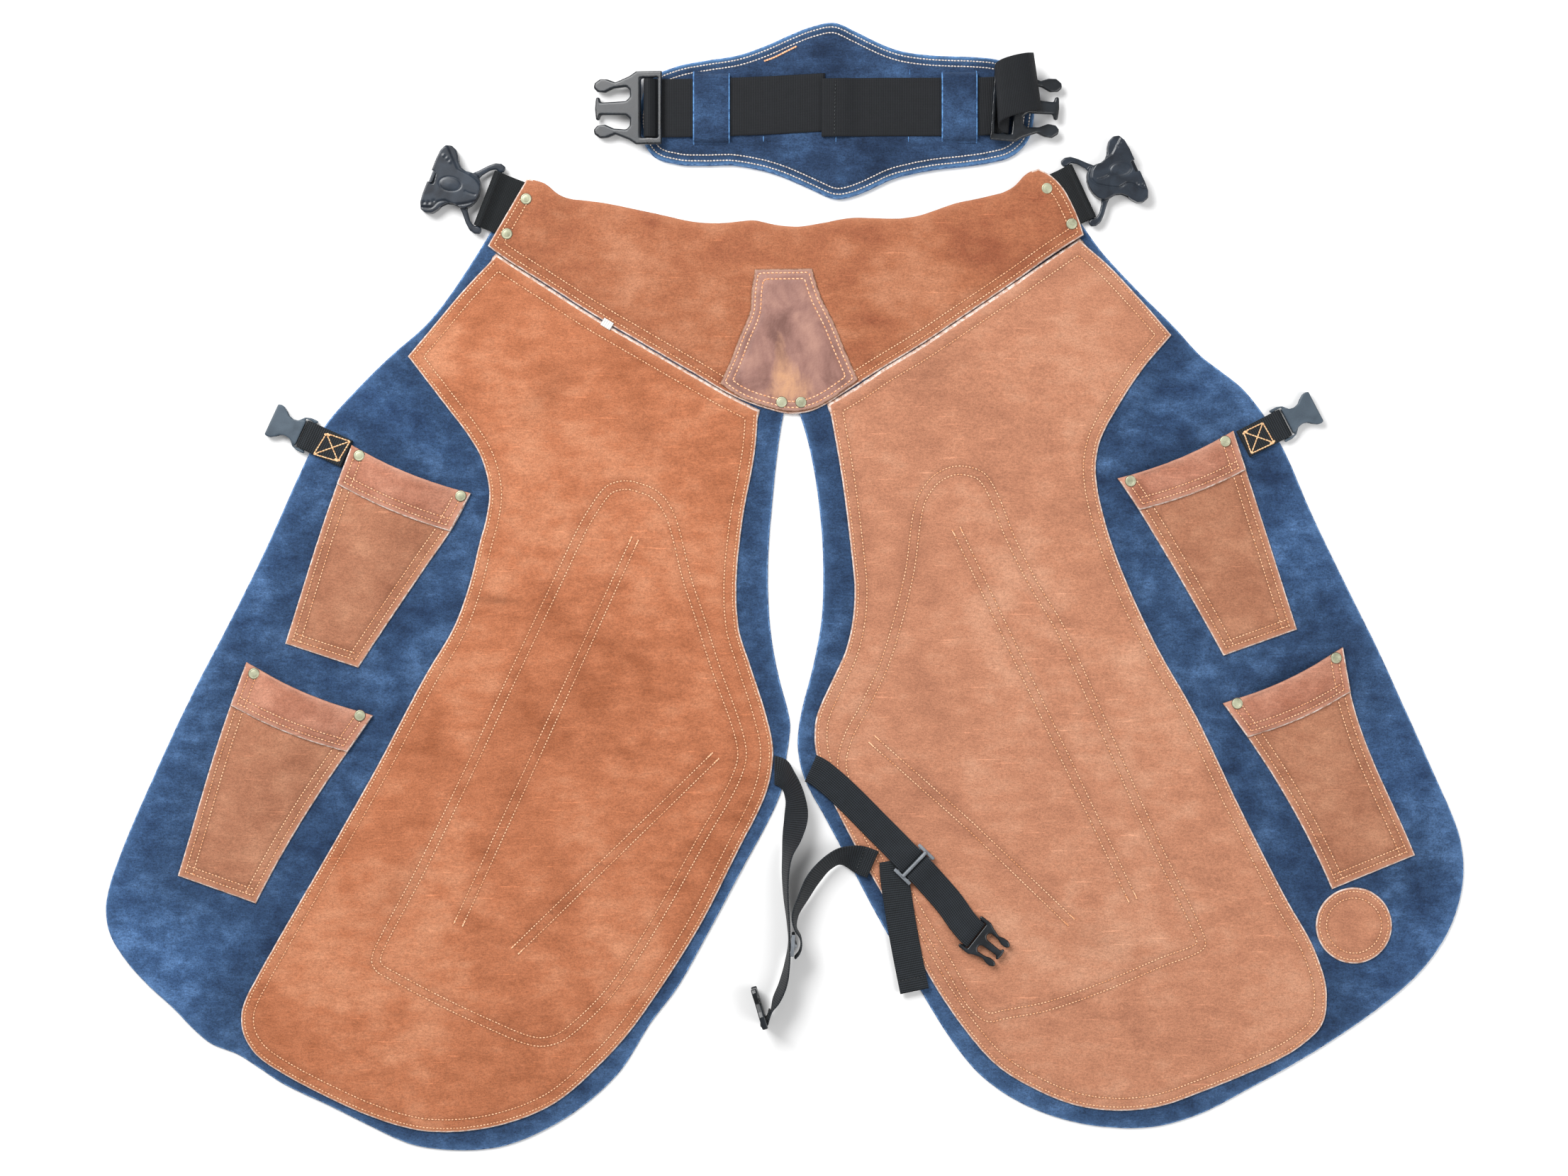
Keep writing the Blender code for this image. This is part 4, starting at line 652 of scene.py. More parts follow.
def leatherSheet(name, node, finish, edgeFinish, rows=None, step=5.0, flatUnder=False, smoothing=0,
                 rimRoll=0.55, wearAndShade=None, folded=None,
                 skive=None):
    # one cut piece of hide: a fine mesh over the solid's outline, dimpled along its seams, its edge rounded
    corners, tree = cadTop(node)
    outline = refineLoop(corners[:, :2], sheetMesh["outline"])
    if area(outline) < 0:
        outline = outline[::-1]
    ragged = np.array([noise.noise((x / 6, y / 6, 1.0)) for x, y in outline])
    nibbled = (0.15 + 0.3 * np.abs(ragged))[:, None]
    outline = insetLoop(outline, 0.0) + (insetLoop(outline, 1.0) - outline) * nibbled
    lip, edge = insetLoop(outline, sheetMesh["lip"]), insetLoop(outline, sheetMesh["edge"])
    sewing = rows(outline) if rows else []
    seams = [spaced(row, sheetMesh["seam"]) for row in sewing]
    sewnTree = treeOf(np.vstack([spaced(row, 1.0) for row in sewing])) if sewing else None
    edgeTree = treeOf(spaced(np.vstack([edge, edge[:1]]), 0.8))
    flanks = []
    for seam in seams:
        way = np.gradient(seam, axis=0)
        way /= np.maximum(np.linalg.norm(way, axis=1), 1e-9)[:, None]
        side = np.stack([-way[:, 1], way[:, 0]], 1) * sheetMesh["beside"]
        flanks.extend([seam, seam + side, seam - side])
    inner = []
    if flanks:
        cells = {}
        for x, y in np.vstack(flanks):
            cells.setdefault((round(x / sheetMesh["cell"]), round(y / sheetMesh["cell"])), (x, y))
        close = np.array(list(cells.values()))
        close = close[within(close, edge)]
        close = close[nearest(close, edgeTree) > sheetMesh["clear"]]
        inner.append(close)
    low, high = edge.min(0), edge.max(0)
    across, up = np.arange(low[0], high[0], step), np.arange(low[1], high[1], step * 0.866)
    grid = np.array([(x + (step / 2 if k % 2 else 0), y) for k, y in enumerate(up) for x in across])
    grid = grid[within(grid, edge)]
    grid = grid[nearest(grid, edgeTree) > step * 0.55]
    if inner:
        grid = grid[nearest(grid, treeOf(inner[0])) > step * 0.5]
    inner.append(grid)
    count = len(edge)
    given = np.vstack([edge] + inner)
    found, _, faces, origin, *_ = delaunay_2d_cdt([Vector(p) for p in given], [], [list(range(count))],
                                                  1, 1e-5)
    place = {}
    for i, sources in enumerate(origin):
        for source in sources:
            place[source] = i
    field = np.array([v[:] for v in found])
    faces = [list(f) for f in faces]
    if faces and area(field[faces[0]]) < 0:
        faces = [f[::-1] for f in faces]
    edgeAt = [place[i] for i in range(count)]
    everyPoint = np.vstack([field, lip, outline])
    heights = np.zeros(len(everyPoint))
    for i, (x, y) in enumerate(everyPoint):
        hit = tree.ray_cast(Vector((x, y, 100.0)), Vector((0, 0, -1)))[0]
        if hit is None:
            hit = tree.find_nearest(Vector((x, y, corners[:, 2].mean())))[0]
        heights[i] = hit.z
    if smoothing:
        fixed = np.ones(len(heights), bool)
        fixed[:len(field)] = False
        heights = settle(heights, faces, fixed, smoothing)
    slack = liftAt(everyPoint)
    under = heights - leather["thickness"] + slack if not flatUnder else np.zeros(len(heights))
    heights = heights + slack
    outlineTree = treeOf(spaced(np.vstack([outline, outline[:1]]), 0.8))
    inside = nearest(everyPoint, outlineTree)
    sewn = np.zeros(len(everyPoint))
    if sewnTree:
        off = nearest(everyPoint, sewnTree)
        sewn = np.exp(-(off / dimple["halfWidth"]) ** 2)
        heights = heights - dimple["depth"] * sewn
    start = len(field)
    heights[start:start + count] -= rimRoll * 0.2
    heights[start + count:] -= rimRoll
    total = len(everyPoint)
    below = np.where(np.arange(total) >= start + count, under + 0.2, under)
    spread = np.full(count, 0.3) if skive is None else skive(outline)
    foot = everyPoint.copy()
    foot[start + count:] += (outline - insetLoop(outline, 1.0)) * spread[:, None]
    verts = np.vstack([np.column_stack([everyPoint, heights]), np.column_stack([foot, below])])
    turnedOver = np.zeros(count, bool) if folded is None else folded(outline)
    allFaces, kinds = list(faces), [0] * len(faces)
    for i in range(count):
        j = (i + 1) % count
        allFaces.append([start + i, start + j, edgeAt[j], edgeAt[i]])
        allFaces.append([start + count + i, start + count + j, start + j, start + i])
        allFaces.append([total + start + count + i, total + start + count + j, start + count + j,
                         start + count + i])
        kinds.extend([0, 0, 0] if turnedOver[i] else [0, 1, 1])
    topFaces = [f for f in allFaces if max(f) < total]
    for face in list(faces) + [f for f in allFaces[len(faces):] if max(f) < total]:
        allFaces.append([total + i for i in reversed(face)])
        kinds.append(0)
    piece = newPiece(name, verts, allFaces, [finish, edgeFinish], kinds)
    rim = np.exp(-np.maximum(inside - sheetMesh["lip"], 0) / 2.2)
    paint(piece, "rim", np.concatenate([rim, rim]) * 0.8)
    paint(piece, "sewn", np.concatenate([sewn, sewn * 0]))
    if wearAndShade is not None:
        marks = wearAndShade(everyPoint)
        paint(piece, "wearAndShade", np.concatenate([marks, marks]))
    tops[name] = BVHTree.FromPolygons([tuple(v) for v in verts[:total]], topFaces)
    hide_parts(node)
    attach(piece, "apron")
    print("  ", name, len(allFaces), "faces")
    return sewing, outline


# Sewing

stitchShape = {"pitch": 2.9, "length": 2.35, "radius": 0.58, "sides": 5}


def dropOn(surfaces, x, y):
    best = None
    for surface in surfaces:
        hit = tops[surface].ray_cast(Vector((x, y, 100.0)), Vector((0, 0, -1)))[0]
        if hit is not None and (best is None or hit.z > best):
            best = hit.z
    return best


def stitchesAlong(line, surfaces, pitch=None, length=None, radius=None, lift=0.18):
    # one small twisted-thread stitch between each pair of needle holes
    pitch = pitch or stitchShape["pitch"]
    length = length or stitchShape["length"]
    radius = radius or stitchShape["radius"]
    points = spaced(line, pitch)
    made = []
    for i, (a, b) in enumerate(zip(points, points[1:])):
        middle, way = (a + b) / 2, (b - a)
        way = way / max(np.linalg.norm(way), 1e-9)
        tip, tail = middle + way * length * 0.5, middle - way * length * 0.5
        heightA, heightB = dropOn(surfaces, *tail), dropOn(surfaces, *tip)
        if heightA is None or heightB is None or abs(heightA - heightB) > 2.0:
            continue
        slant = 0.09 * math.sin(i * 2.39)                   # no machine row is perfectly even
        direction = Vector((way[0] - way[1] * slant, way[1] + way[0] * slant, (heightB - heightA) / length))
        made.append((Vector((middle[0], middle[1], (heightA + heightB) / 2 + lift)), direction.normalized(),
                     length * (1 + 0.06 * math.sin(i * 1.7)), radius))
    return made


def threadPiece(name, stitches, finish):
    # every stitch is a short rod, round and tapered, that dips into the leather at both ends
    sides = stitchShape["sides"]
    stations = ((-0.5, 0.0, -0.5), (-0.34, 0.85, -0.12), (0.0, 1.0, 0.05), (0.34, 0.85, -0.12),
                (0.5, 0.0, -0.5))
    verts, faces = [], []
    for centre, direction, length, radius in stitches:
        side = Vector((-direction.y, direction.x, 0)).normalized()
        up = direction.cross(side)
        base = len(verts)
        for along, wide, dip in stations:
            middle = centre + direction * (along * length) + up * (dip * radius)
            if wide == 0.0:
                verts.append(middle[:])
                continue
            for k in range(sides):
                turn = math.tau * k / sides
                verts.append((middle + side * (math.cos(turn) * radius * wide)
                              + up * (math.sin(turn) * radius * wide * 0.8))[:])
        first, last = base, base + 3 * sides + 1
        for k in range(sides):
            after = (k + 1) % sides
            faces.append((first, base + 1 + after, base + 1 + k))
            for ring in (0, 1):
                low, high = base + 1 + ring * sides, base + 1 + (ring + 1) * sides
                faces.append((low + k, low + after, high + after, high + k))
            faces.append((last, base + 1 + 2 * sides + k, base + 1 + 2 * sides + after))
    piece = newPiece(name, verts, faces, [finish])
    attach(piece, "apron")
    return piece


def bartack(centre, heading, surfaces, width=3.4, length=7.0):
    # a dense zigzag that locks the end of a row
    u = np.array([math.cos(math.radians(heading)), math.sin(math.radians(heading))])
    v = np.array([-u[1], u[0]])
    points = [np.array(centre) + u * (k / 7 - 0.5) * length + v * width * (0.5 if k % 2 else -0.5)
              for k in range(8)]
    made = []
    for a, b in zip(points, points[1:]):
        made.extend(stitchesAlong(np.array([a, b]), surfaces, pitch=width * 1.2, length=width * 1.15,
                                  lift=0.35))
    return made


# The two legs

shadeShare = {"left": 1.0, "right": 0.6}                    # the right leg's painted shade changes less towards its open edge
sewnOver = {}
for side in shadeShare:
    covers = ("waistband", "leg_patch_" + side, "pocket_front_upper_" + side, "pocket_front_lower_" + side)
    sewnOver[side] = np.vstack([spaced(cadTop(node)[0][:, :2], 4.0) for node in covers])


def paintedShadeFrom(side):
    # painted shade: the navy is darkest beside the sewn-on pieces and lightens towards the open edge
    def paintedShade(points):
        return 1 - shadeShare[side] * eased(nearest(points, treeOf(sewnOver[side])) / 70.0)
    return paintedShade


for side in shadeShare:
    leatherSheet("leg_panel_" + side + "_suede", "leg_panel_" + side, "navySuede", "navyCutEdge",
                 flatUnder=True, wearAndShade=paintedShadeFrom(side))

# Stitching on the rubbing patches, in photo pixels: the arch, then straight double rows with bartacks.
patchRows = {
    "left": {
        "arch": ((533, 1371), (525, 1356), (533, 1330), (590, 1222), (655, 1088), (720, 948), (782, 817),
                 (815, 747), (834, 714), (854, 687.5), (869, 680.5), (887, 678.5), (905, 683), (923, 690),
                 (938, 703), (951, 725), (960, 753), (975.5, 816.6), (990, 860), (1017, 945), (1044, 1020),
                 (1053, 1060), (1049, 1086), (1032, 1124), (1000, 1178), (952, 1265), (900, 1352),
                 (860, 1408), (815, 1452), (786, 1471), (752, 1474), (690, 1450), (610, 1412), (533, 1371)),
        "archGap": 7.3,
        "straight": (((890, 761), (643, 1298)), ((899, 766.5), (655, 1302)), ((1002, 1065), (725, 1334)),
                     ((1011, 1073), (735, 1342))),
    },
    "right": {
        "arch": ((1418, 1436), (1392, 1440), (1366, 1420), (1330, 1358), (1268, 1250), (1205, 1140),
                 (1182, 1085), (1190, 1040), (1216, 990), (1245, 926), (1276, 811), (1291, 712), (1310, 678),
                 (1335, 661), (1360, 658), (1388, 668), (1408, 700), (1429, 754), (1462, 820), (1502, 888),
                 (1578, 1060), (1640, 1198), (1697, 1318), (1697, 1338), (1640, 1362), (1560, 1396),
                 (1480, 1424), (1418, 1436)),
        "archGap": 7.3,
        "straight": (((1345, 752), (1590, 1268)), ((1356, 748), (1601, 1263)),
                     ((1237, 1041), (1372, 1160), (1512, 1293)), ((1229, 1050), (1364, 1169), (1503, 1302))),
    },
}
bandEdge = spaced(refineLoop(cadTop("waistband")[0][:, :2], 4.0), 2.0)


def seamSkive(outline):
    # the hide is pared to a wide slanting edge where it meets the waistband
    near = nearest(outline, treeOf(bandEdge))
    return 0.3 + 1.5 * np.clip((9.0 - near) / 3.0, 0, 1)


def patchSewing(side):
    spec = patchRows[side]
    arch = rounded(atPixels(*spec["arch"]))
    if area(arch) < 0:
        arch = arch[::-1]
    twin = insetLoop(spaced(arch, 2.0)[:-1], spec["archGap"])
    twin = twin[nearest(twin, treeOf(spaced(arch, 1.0))) > spec["archGap"] * 0.96]

    def rows(outline):
        made = insetRow(outline, 3.0, bandEdge, 7.0) + insetRow(outline, 10.5, bandEdge, 9.0)
        made.extend([arch, np.vstack([twin, twin[:1]])])
        made.extend([atPixels(*line) for line in spec["straight"]])
        return made
    return rows


# dark marks of wear: centre in photo pixels, half length and half width in mm, slope in degrees, strength
wearMarks = {
    "left": (((700, 846), 17, 3.4, -4, 1.0), ((770, 560), 26, 12, 50, 0.35), ((905, 610), 20, 9, -40, 0.3),
             ((560, 1250), 30, 14, 55, 0.3)),
    "right": (((1330, 520), 30, 12, 30, 0.22), ((1560, 1330), 34, 12, -25, 0.25)),
}


def wearOf(side):
    def wear(points):
        dark = np.zeros(len(points))
        for centre, length, width, slope, strength in wearMarks[side]:
            off = points[:, :2] - atPixels(centre)[0]
            c, s = math.cos(math.radians(slope)), math.sin(math.radians(slope))
            u, v = (off[:, 0] * c + off[:, 1] * s) / length, (off[:, 1] * c - off[:, 0] * s) / width
            dark = np.maximum(dark, strength * np.exp(-u ** 2 - v ** 2))
        return dark
    return wear


for side in ("left", "right"):
    name = "leg_patch_" + side + "_suede"
    sewing, _ = leatherSheet(name, "leg_patch_" + side, side + "PatchSuede", "orangeCutEdge",
                             rows=patchSewing(side), skive=seamSkive, wearAndShade=wearOf(side))
    stitches = [s for row in sewing for s in stitchesAlong(row, [name])]
    for line in patchRows[side]["straight"]:
        start, end = atPixels(line[0], line[-1])
        heading = math.degrees(math.atan2(*(end - start)[::-1]))
        for centre in (start, end):
            stitches.extend(bartack(centre, heading, [name], width=1.6, length=6.0))
    threadPiece("leg_patch_" + side + "_stitching", stitches, "orangeThread")
print("legs made")

# Waistband and crotch patch


def bandRows(outline):
    top = atPixels((744, 256), (775, 263), (800, 281), (900, 297), (1000, 314), (1107, 316), (1200, 309),
                   (1300, 302), (1400, 281), (1440, 262), (1464, 240))
    top = spaced(top, 2.0)
    return insetRow(outline, 4.0, top, 13.0) + insetRow(outline, 10.5, top, 16.0)


def bandTop(outline):
    out = outline - insetLoop(outline, 1.0)
    return (out[:, 1] > 0.5) & (np.abs(outline[:, 0]) < 215)


sewing, _ = leatherSheet("waistband_suede", "waistband", "bandSuede", "orangeCutEdge", rows=bandRows,
                         smoothing=10, step=4.5, folded=bandTop)
threadPiece("waistband_stitching", [s for row in sewing for s in stitchesAlong(row, ["waistband_suede"])],
            "orangeThread")


def crotchRows(outline):
    return insetRow(outline, 3.2) + insetRow(outline, 8.4)


def scuffs(points):
    # the pale rubbed fan above the two rivets
    away = np.hypot((points[:, 0] - 4) / 20, (points[:, 1] - 176) / 19)
    fan = np.exp(-(np.hypot((points[:, 0] + 4) / 9, (points[:, 1] - 214) / 30)) ** 2)
    return 0.9 * np.exp(-away ** 2) + 0.45 * fan + 0.25 * np.exp(-(np.abs(points[:, 1] - 163) / 8) ** 2)


sewing, _ = leatherSheet("crotch_patch_leather", "crotch_patch", "oiledLeather", "brownCutEdge",
                         rows=crotchRows, step=4.0,
                         wearAndShade=scuffs)
threadPiece("crotch_patch_stitching",
            [s for row in sewing for s in stitchesAlong(row, ["crotch_patch_leather"], pitch=3.6, length=3.1,
                                                        radius=0.72)], "orangeThread")

# Pockets and round patch

pocketNames = ("upper_left", "lower_left", "upper_right", "lower_right")


# Corners in photo pixels: mouth outer and inner, cuff's lower outer and inner, foot outer and inner.
pocketCorners = {
    "upper_left": ((497, 628), (665, 696), (476, 683), (636, 750), (403, 908), (506, 942)),
    "lower_left": ((349, 934), (527, 1009), (326, 995), (491, 1061), (252, 1235), (362, 1274)),
    "upper_right": ((1739, 608), (1576, 675), (1757, 663), (1606, 720), (1829, 888), (1725, 925)),
    "lower_right": ((1893, 913), (1724, 992), (1904, 976), (1759, 1040), (1995, 1206), (1878, 1254)),
}
pocketSewing = {"sides": (5.6, 12.0), "foot": (5.6, 11.0), "cuffEdge": (4.4, 10.0)}


def sideOf(outline, start, end):
    # the stretch of an outline from one corner to the next
    first = int(np.argmin(np.hypot(*(outline - start).T)))
    last = int(np.argmin(np.hypot(*(outline - end).T)))
    run = [outline[(first + k) % len(outline)] for k in range((last - first) % len(outline) + 1)]
    back = [outline[(first - k) % len(outline)] for k in range((first - last) % len(outline) + 1)]
    run, back = np.array(run), np.array(back)
    return run if len(run) <= len(back) else back


def besideRow(edge, depth, centre, trimStart=0.0, trimEnd=0.0):
    # a row beside an open edge, on the side of it where the centre is
    edge = spaced(edge, 2.0)
    way = np.gradient(edge, axis=0)
    way /= np.maximum(np.linalg.norm(way, axis=1), 1e-9)[:, None]
    inward = np.stack([-way[:, 1], way[:, 0]], 1)
    if np.sum(inward * (centre - edge)) < 0:
        inward = -inward
    row = edge + inward * depth
    run = np.arange(len(row)) * 2.0
    keep = (run >= trimStart) & (run <= run[-1] - trimEnd)
    return row[keep]


for corner in pocketNames:
    front, cuff = "pocket_front_" + corner, "pocket_cuff_" + corner
    mouthOuter, mouthInner, cuffOuter, cuffInner, footOuter, footInner = atPixels(*pocketCorners[corner])
    mouthMiddle, footMiddle = (mouthOuter + mouthInner) / 2, (footOuter + footInner) / 2

    def pocketRows(outline):
        middle = outline.mean(0)
        outer, inner = sideOf(outline, mouthOuter, footOuter), sideOf(outline, mouthInner, footInner)
        foot = sideOf(outline, footOuter, footInner)
        rows = [besideRow(edge, depth, middle, 26.0, 4.0) for edge in (outer, inner)
                for depth in pocketSewing["sides"]]
        return rows + [besideRow(foot, depth, middle, 6.0, 6.0) for depth in pocketSewing["foot"]]

    def cuffRows(outline):
        middle = outline.mean(0)
        outer, inner = sideOf(outline, mouthOuter, cuffOuter), sideOf(outline, mouthInner, cuffInner)
        lower = sideOf(outline, cuffOuter, cuffInner)
        rows = [besideRow(lower, depth, middle, 3.0, 3.0) for depth in pocketSewing["cuffEdge"]]
        return rows + [besideRow(edge, depth, middle, 9.0, 1.0) for edge in (outer, inner)
                       for depth in pocketSewing["sides"]]

    def rolledMouth(outline):
        # the mouth is a fold, so no raw edge shows there
        out = outline - insetLoop(outline, 1.0)
        upward = (mouthMiddle - footMiddle) / np.linalg.norm(mouthMiddle - footMiddle)
        return out @ upward > 0.62

    leatherSheet(front + "_suede", front, "pocketSuede", "orangeCutEdge", rows=pocketRows, smoothing=14,
                 step=3.4, folded=rolledMouth)
    sewing, cuffOutline = leatherSheet(cuff + "_suede", cuff, "cuffSuede", "orangeCutEdge", rows=cuffRows,
                                       smoothing=14, step=3.0, rimRoll=0.8, folded=rolledMouth)
    stitches = [s for row in sewing for s in stitchesAlong(row, [cuff + "_suede"])]
    frontOutline = refineLoop(cadTop(front)[0][:, :2], sheetMesh["outline"])
    for row in pocketRows(frontOutline if area(frontOutline) > 0 else frontOutline[::-1]):
        bare = row[~within(row, cuffOutline)]
        if len(bare) > 3:
            stitches.extend(stitchesAlong(bare, [front + "_suede"]))
    threadPiece("pocket_stitching_" + corner, stitches, "orangeThread")


def roundRows(outline):
    return insetRow(outline, 3.0) + insetRow(outline, 8.8)


sewing, _ = leatherSheet("round_patch_suede", "round_patch", "rightPatchSuede", "orangeCutEdge",
                         rows=roundRows, step=3.4)
threadPiece("round_patch_stitching", [s for row in sewing for s in stitchesAlong(row, ["round_patch_suede"])],
            "orangeThread")
print("waist and pockets made")

# Rivets

rivetCap = {"segments": 28,
            "profile": ((5.05, -0.3), (5.0, 0.1), (4.66, 0.16), (4.62, 0.55), (4.4, 0.86), (4.0, 0.98),
                        (3.6, 0.98), (3.3, 0.88), (3.0, 0.96), (1.6, 1.06), (0.0, 1.1))}
rivetSeats = [("waist_rivet_", ("left_upper", "left_lower", "right_upper", "right_lower"),
               ["waistband_suede"]),
              ("rivet_crotch_", ("left", "right"), ["crotch_patch_leather"])]
rivetSeats += [("pocket_rivet_" + corner + "_", ("outer", "inner"), ["pocket_cuff_" + corner + "_suede"])
               for corner in pocketNames]
for prefix, ends, surfaces in rivetSeats:
    for end in ends:
        low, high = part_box(prefix + end)
        x, y = (low.x + high.x) * 500, (low.y + high.y) * 500
        seat = dropOn(surfaces, x, y)
        seat = low.z * 1000 if seat is None else seat
        verts, faces = [], []
        segments = rivetCap["segments"]
        for radius, height in rivetCap["profile"][:-1]:
            for k in range(segments):
                turn = math.tau * k / segments
                verts.append((x + radius * math.cos(turn), y + radius * math.sin(turn), seat + height))
        verts.append((x, y, seat + rivetCap["profile"][-1][1]))
        rings = len(rivetCap["profile"]) - 1
        for ring in range(rings - 1):
            for k in range(segments):
                after = (k + 1) % segments
                faces.append((ring * segments + k, ring * segments + after, (ring + 1) * segments + after,
                              (ring + 1) * segments + k))
        for k in range(segments):
            faces.append(((rings - 1) * segments + k, (rings - 1) * segments + (k + 1) % segments,
                          len(verts) - 1))
        faces.append(tuple(reversed(range(segments))))
        # the two outer rings are a painted shadow round the cap
        kinds = [1 if i < 2 * segments else 0 for i in range(len(faces))]
        rivet = newPiece(prefix + end + "_cap", verts, faces, ["platedRivet", "pressedLeather"], kinds)
        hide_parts(prefix + end)
        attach(rivet, "apron")
print("rivets made")

# Webbing

strap = {"thickness": 1.5, "legWidth": 25.0, "waistWidth": 50.0, "standing": 16.7}
standing = strap["standing"]


def smoothRoute(route, step=2.5):
    # rows are x, y, z, heading and lean; eased between rows as in a strap that bends without kinks
    knots = [Vector(row) for row in route]

    def chord(i):
        return max((Vector(knots[i + 1][:3]) - Vector(knots[i][:3])).length, 1e-6)

    count = len(knots)
    slopes = []
    for i in range(count):
        if i == 0:
            slopes.append((knots[1] - knots[0]) / chord(0))
        elif i == count - 1:
            slopes.append((knots[-1] - knots[-2]) / chord(count - 2))
        else:
            before, after = chord(i - 1), chord(i)
            slopes.append(((knots[i + 1] - knots[i]) / after * before
                           + (knots[i] - knots[i - 1]) / before * after)
                          / (before + after))
    path = []
    for i in range(count - 1):
        a, b, length = knots[i], knots[i + 1], chord(i)
        leave, arrive = slopes[i] * length, slopes[i + 1] * length
        bend = Vector(leave[:3]).angle(Vector(arrive[:3]), 0.0)
        twist = max(abs(d) for d in (b - a)[3:])
        steps = max(1, math.ceil(length / step), math.ceil(math.degrees(bend) / 6), math.ceil(twist / 5))
        for k in range(steps):
            t = k / steps
            path.append(a * (2 * t**3 - 3 * t**2 + 1) + leave * (t**3 - 2 * t**2 + t)
                        + b * (3 * t**2 - 2 * t**3) + arrive * (t**3 - t**2))
    path.append(knots[-1])
    return path


def strapPiece(name, node, route, width, finish, thickness=None,
               edgeFinish=None, hem=0.0):
    thickness = thickness or strap["thickness"]
    path = smoothRoute(route)
    gaps = [(Vector(b[:3]) - Vector(a[:3])).length for a, b in zip(path, path[1:])]
    runs = np.concatenate([[0.0], np.cumsum(gaps)])
    hemStart = runs[-1] - hem
    if hem:
        # two more rows make the step where the end is folded over and sewn
        k = int(np.searchsorted(runs, hemStart)) - 1
        path[k + 1:k + 1] = [path[k].lerp(path[k + 1], 0.5), path[k].lerp(path[k + 1], 0.6)]
    shares = ((-1.0, 0.35), (-0.985, 0.8), (-0.93, 1.0), (-0.5, 1.0), (0.0, 1.0), (0.5, 1.0), (0.93, 1.0),
              (0.985, 0.8), (1.0, 0.35))
    section = [(v * width / 2, h * thickness / 2) for v, h in shares]
    section += [(v, -h) for v, h in reversed(section)]
    verts, run, uvs = [], 0.0, []
    middles = [Vector(row[:3]) for row in path]
    for i, row in enumerate(path):
        heading, lean = math.radians(row[3]), math.radians(row[4])
        ahead = (middles[min(i + 1, len(path) - 1)] - middles[max(i - 1, 0)]).normalized()
        side = Vector((-math.sin(heading), math.cos(heading), 0))
        across = side * math.cos(lean) + Vector((0, 0, math.sin(lean)))
        up = ahead.cross(across).normalized()
        if i:
            run += (middles[i] - middles[i - 1]).length
        raised = 1.3 if hem and i > k + 1 else 0.0
        for v, h in section:
            verts.append((middles[i] + across * v + up * (h + (raised if h > 0 else 0.0)))[:])
            uvs.append((run / 1000, v / 1000))
    size = len(section)
    faces = []
    for i in range(len(path) - 1):
        for k in range(size):
            after = (k + 1) % size
            faces.append((i * size + k, i * size + after, (i + 1) * size + after, (i + 1) * size + k))
    half = size // 2
    for k in range(half - 1):
        first = (k, k + 1, size - 2 - k, size - 1 - k)
        faces.append(first)
        faces.append(tuple((len(path) - 1) * size + i for i in reversed(first)))
    border = (0, 1, half - 3, half - 2, half - 1, half, half + 1, size - 3, size - 2, size - 1)
    kinds = [1 if edgeFinish and k in border else 0 for i in range(len(path) - 1) for k in range(size)]
    kinds += [0] * (len(faces) - len(kinds))
    piece = newPiece(name, verts, faces, [finish, edgeFinish] if edgeFinish else [finish], kinds)
    fixNormals(piece)
    layer = piece.data.uv_layers.new(name="weave")
    for polygon in piece.data.polygons:
        for loop in polygon.loop_indices:
            layer.data[loop].uv = uvs[piece.data.loops[loop].vertex_index]
    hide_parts(node)
    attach(piece, "apron")
    return piece


def fixNormals(piece):
    bm = bmesh.new()
    bm.from_mesh(piece.data)
    bmesh.ops.recalc_face_normals(bm, faces=bm.faces)
    bm.to_mesh(piece.data)
    bm.free()


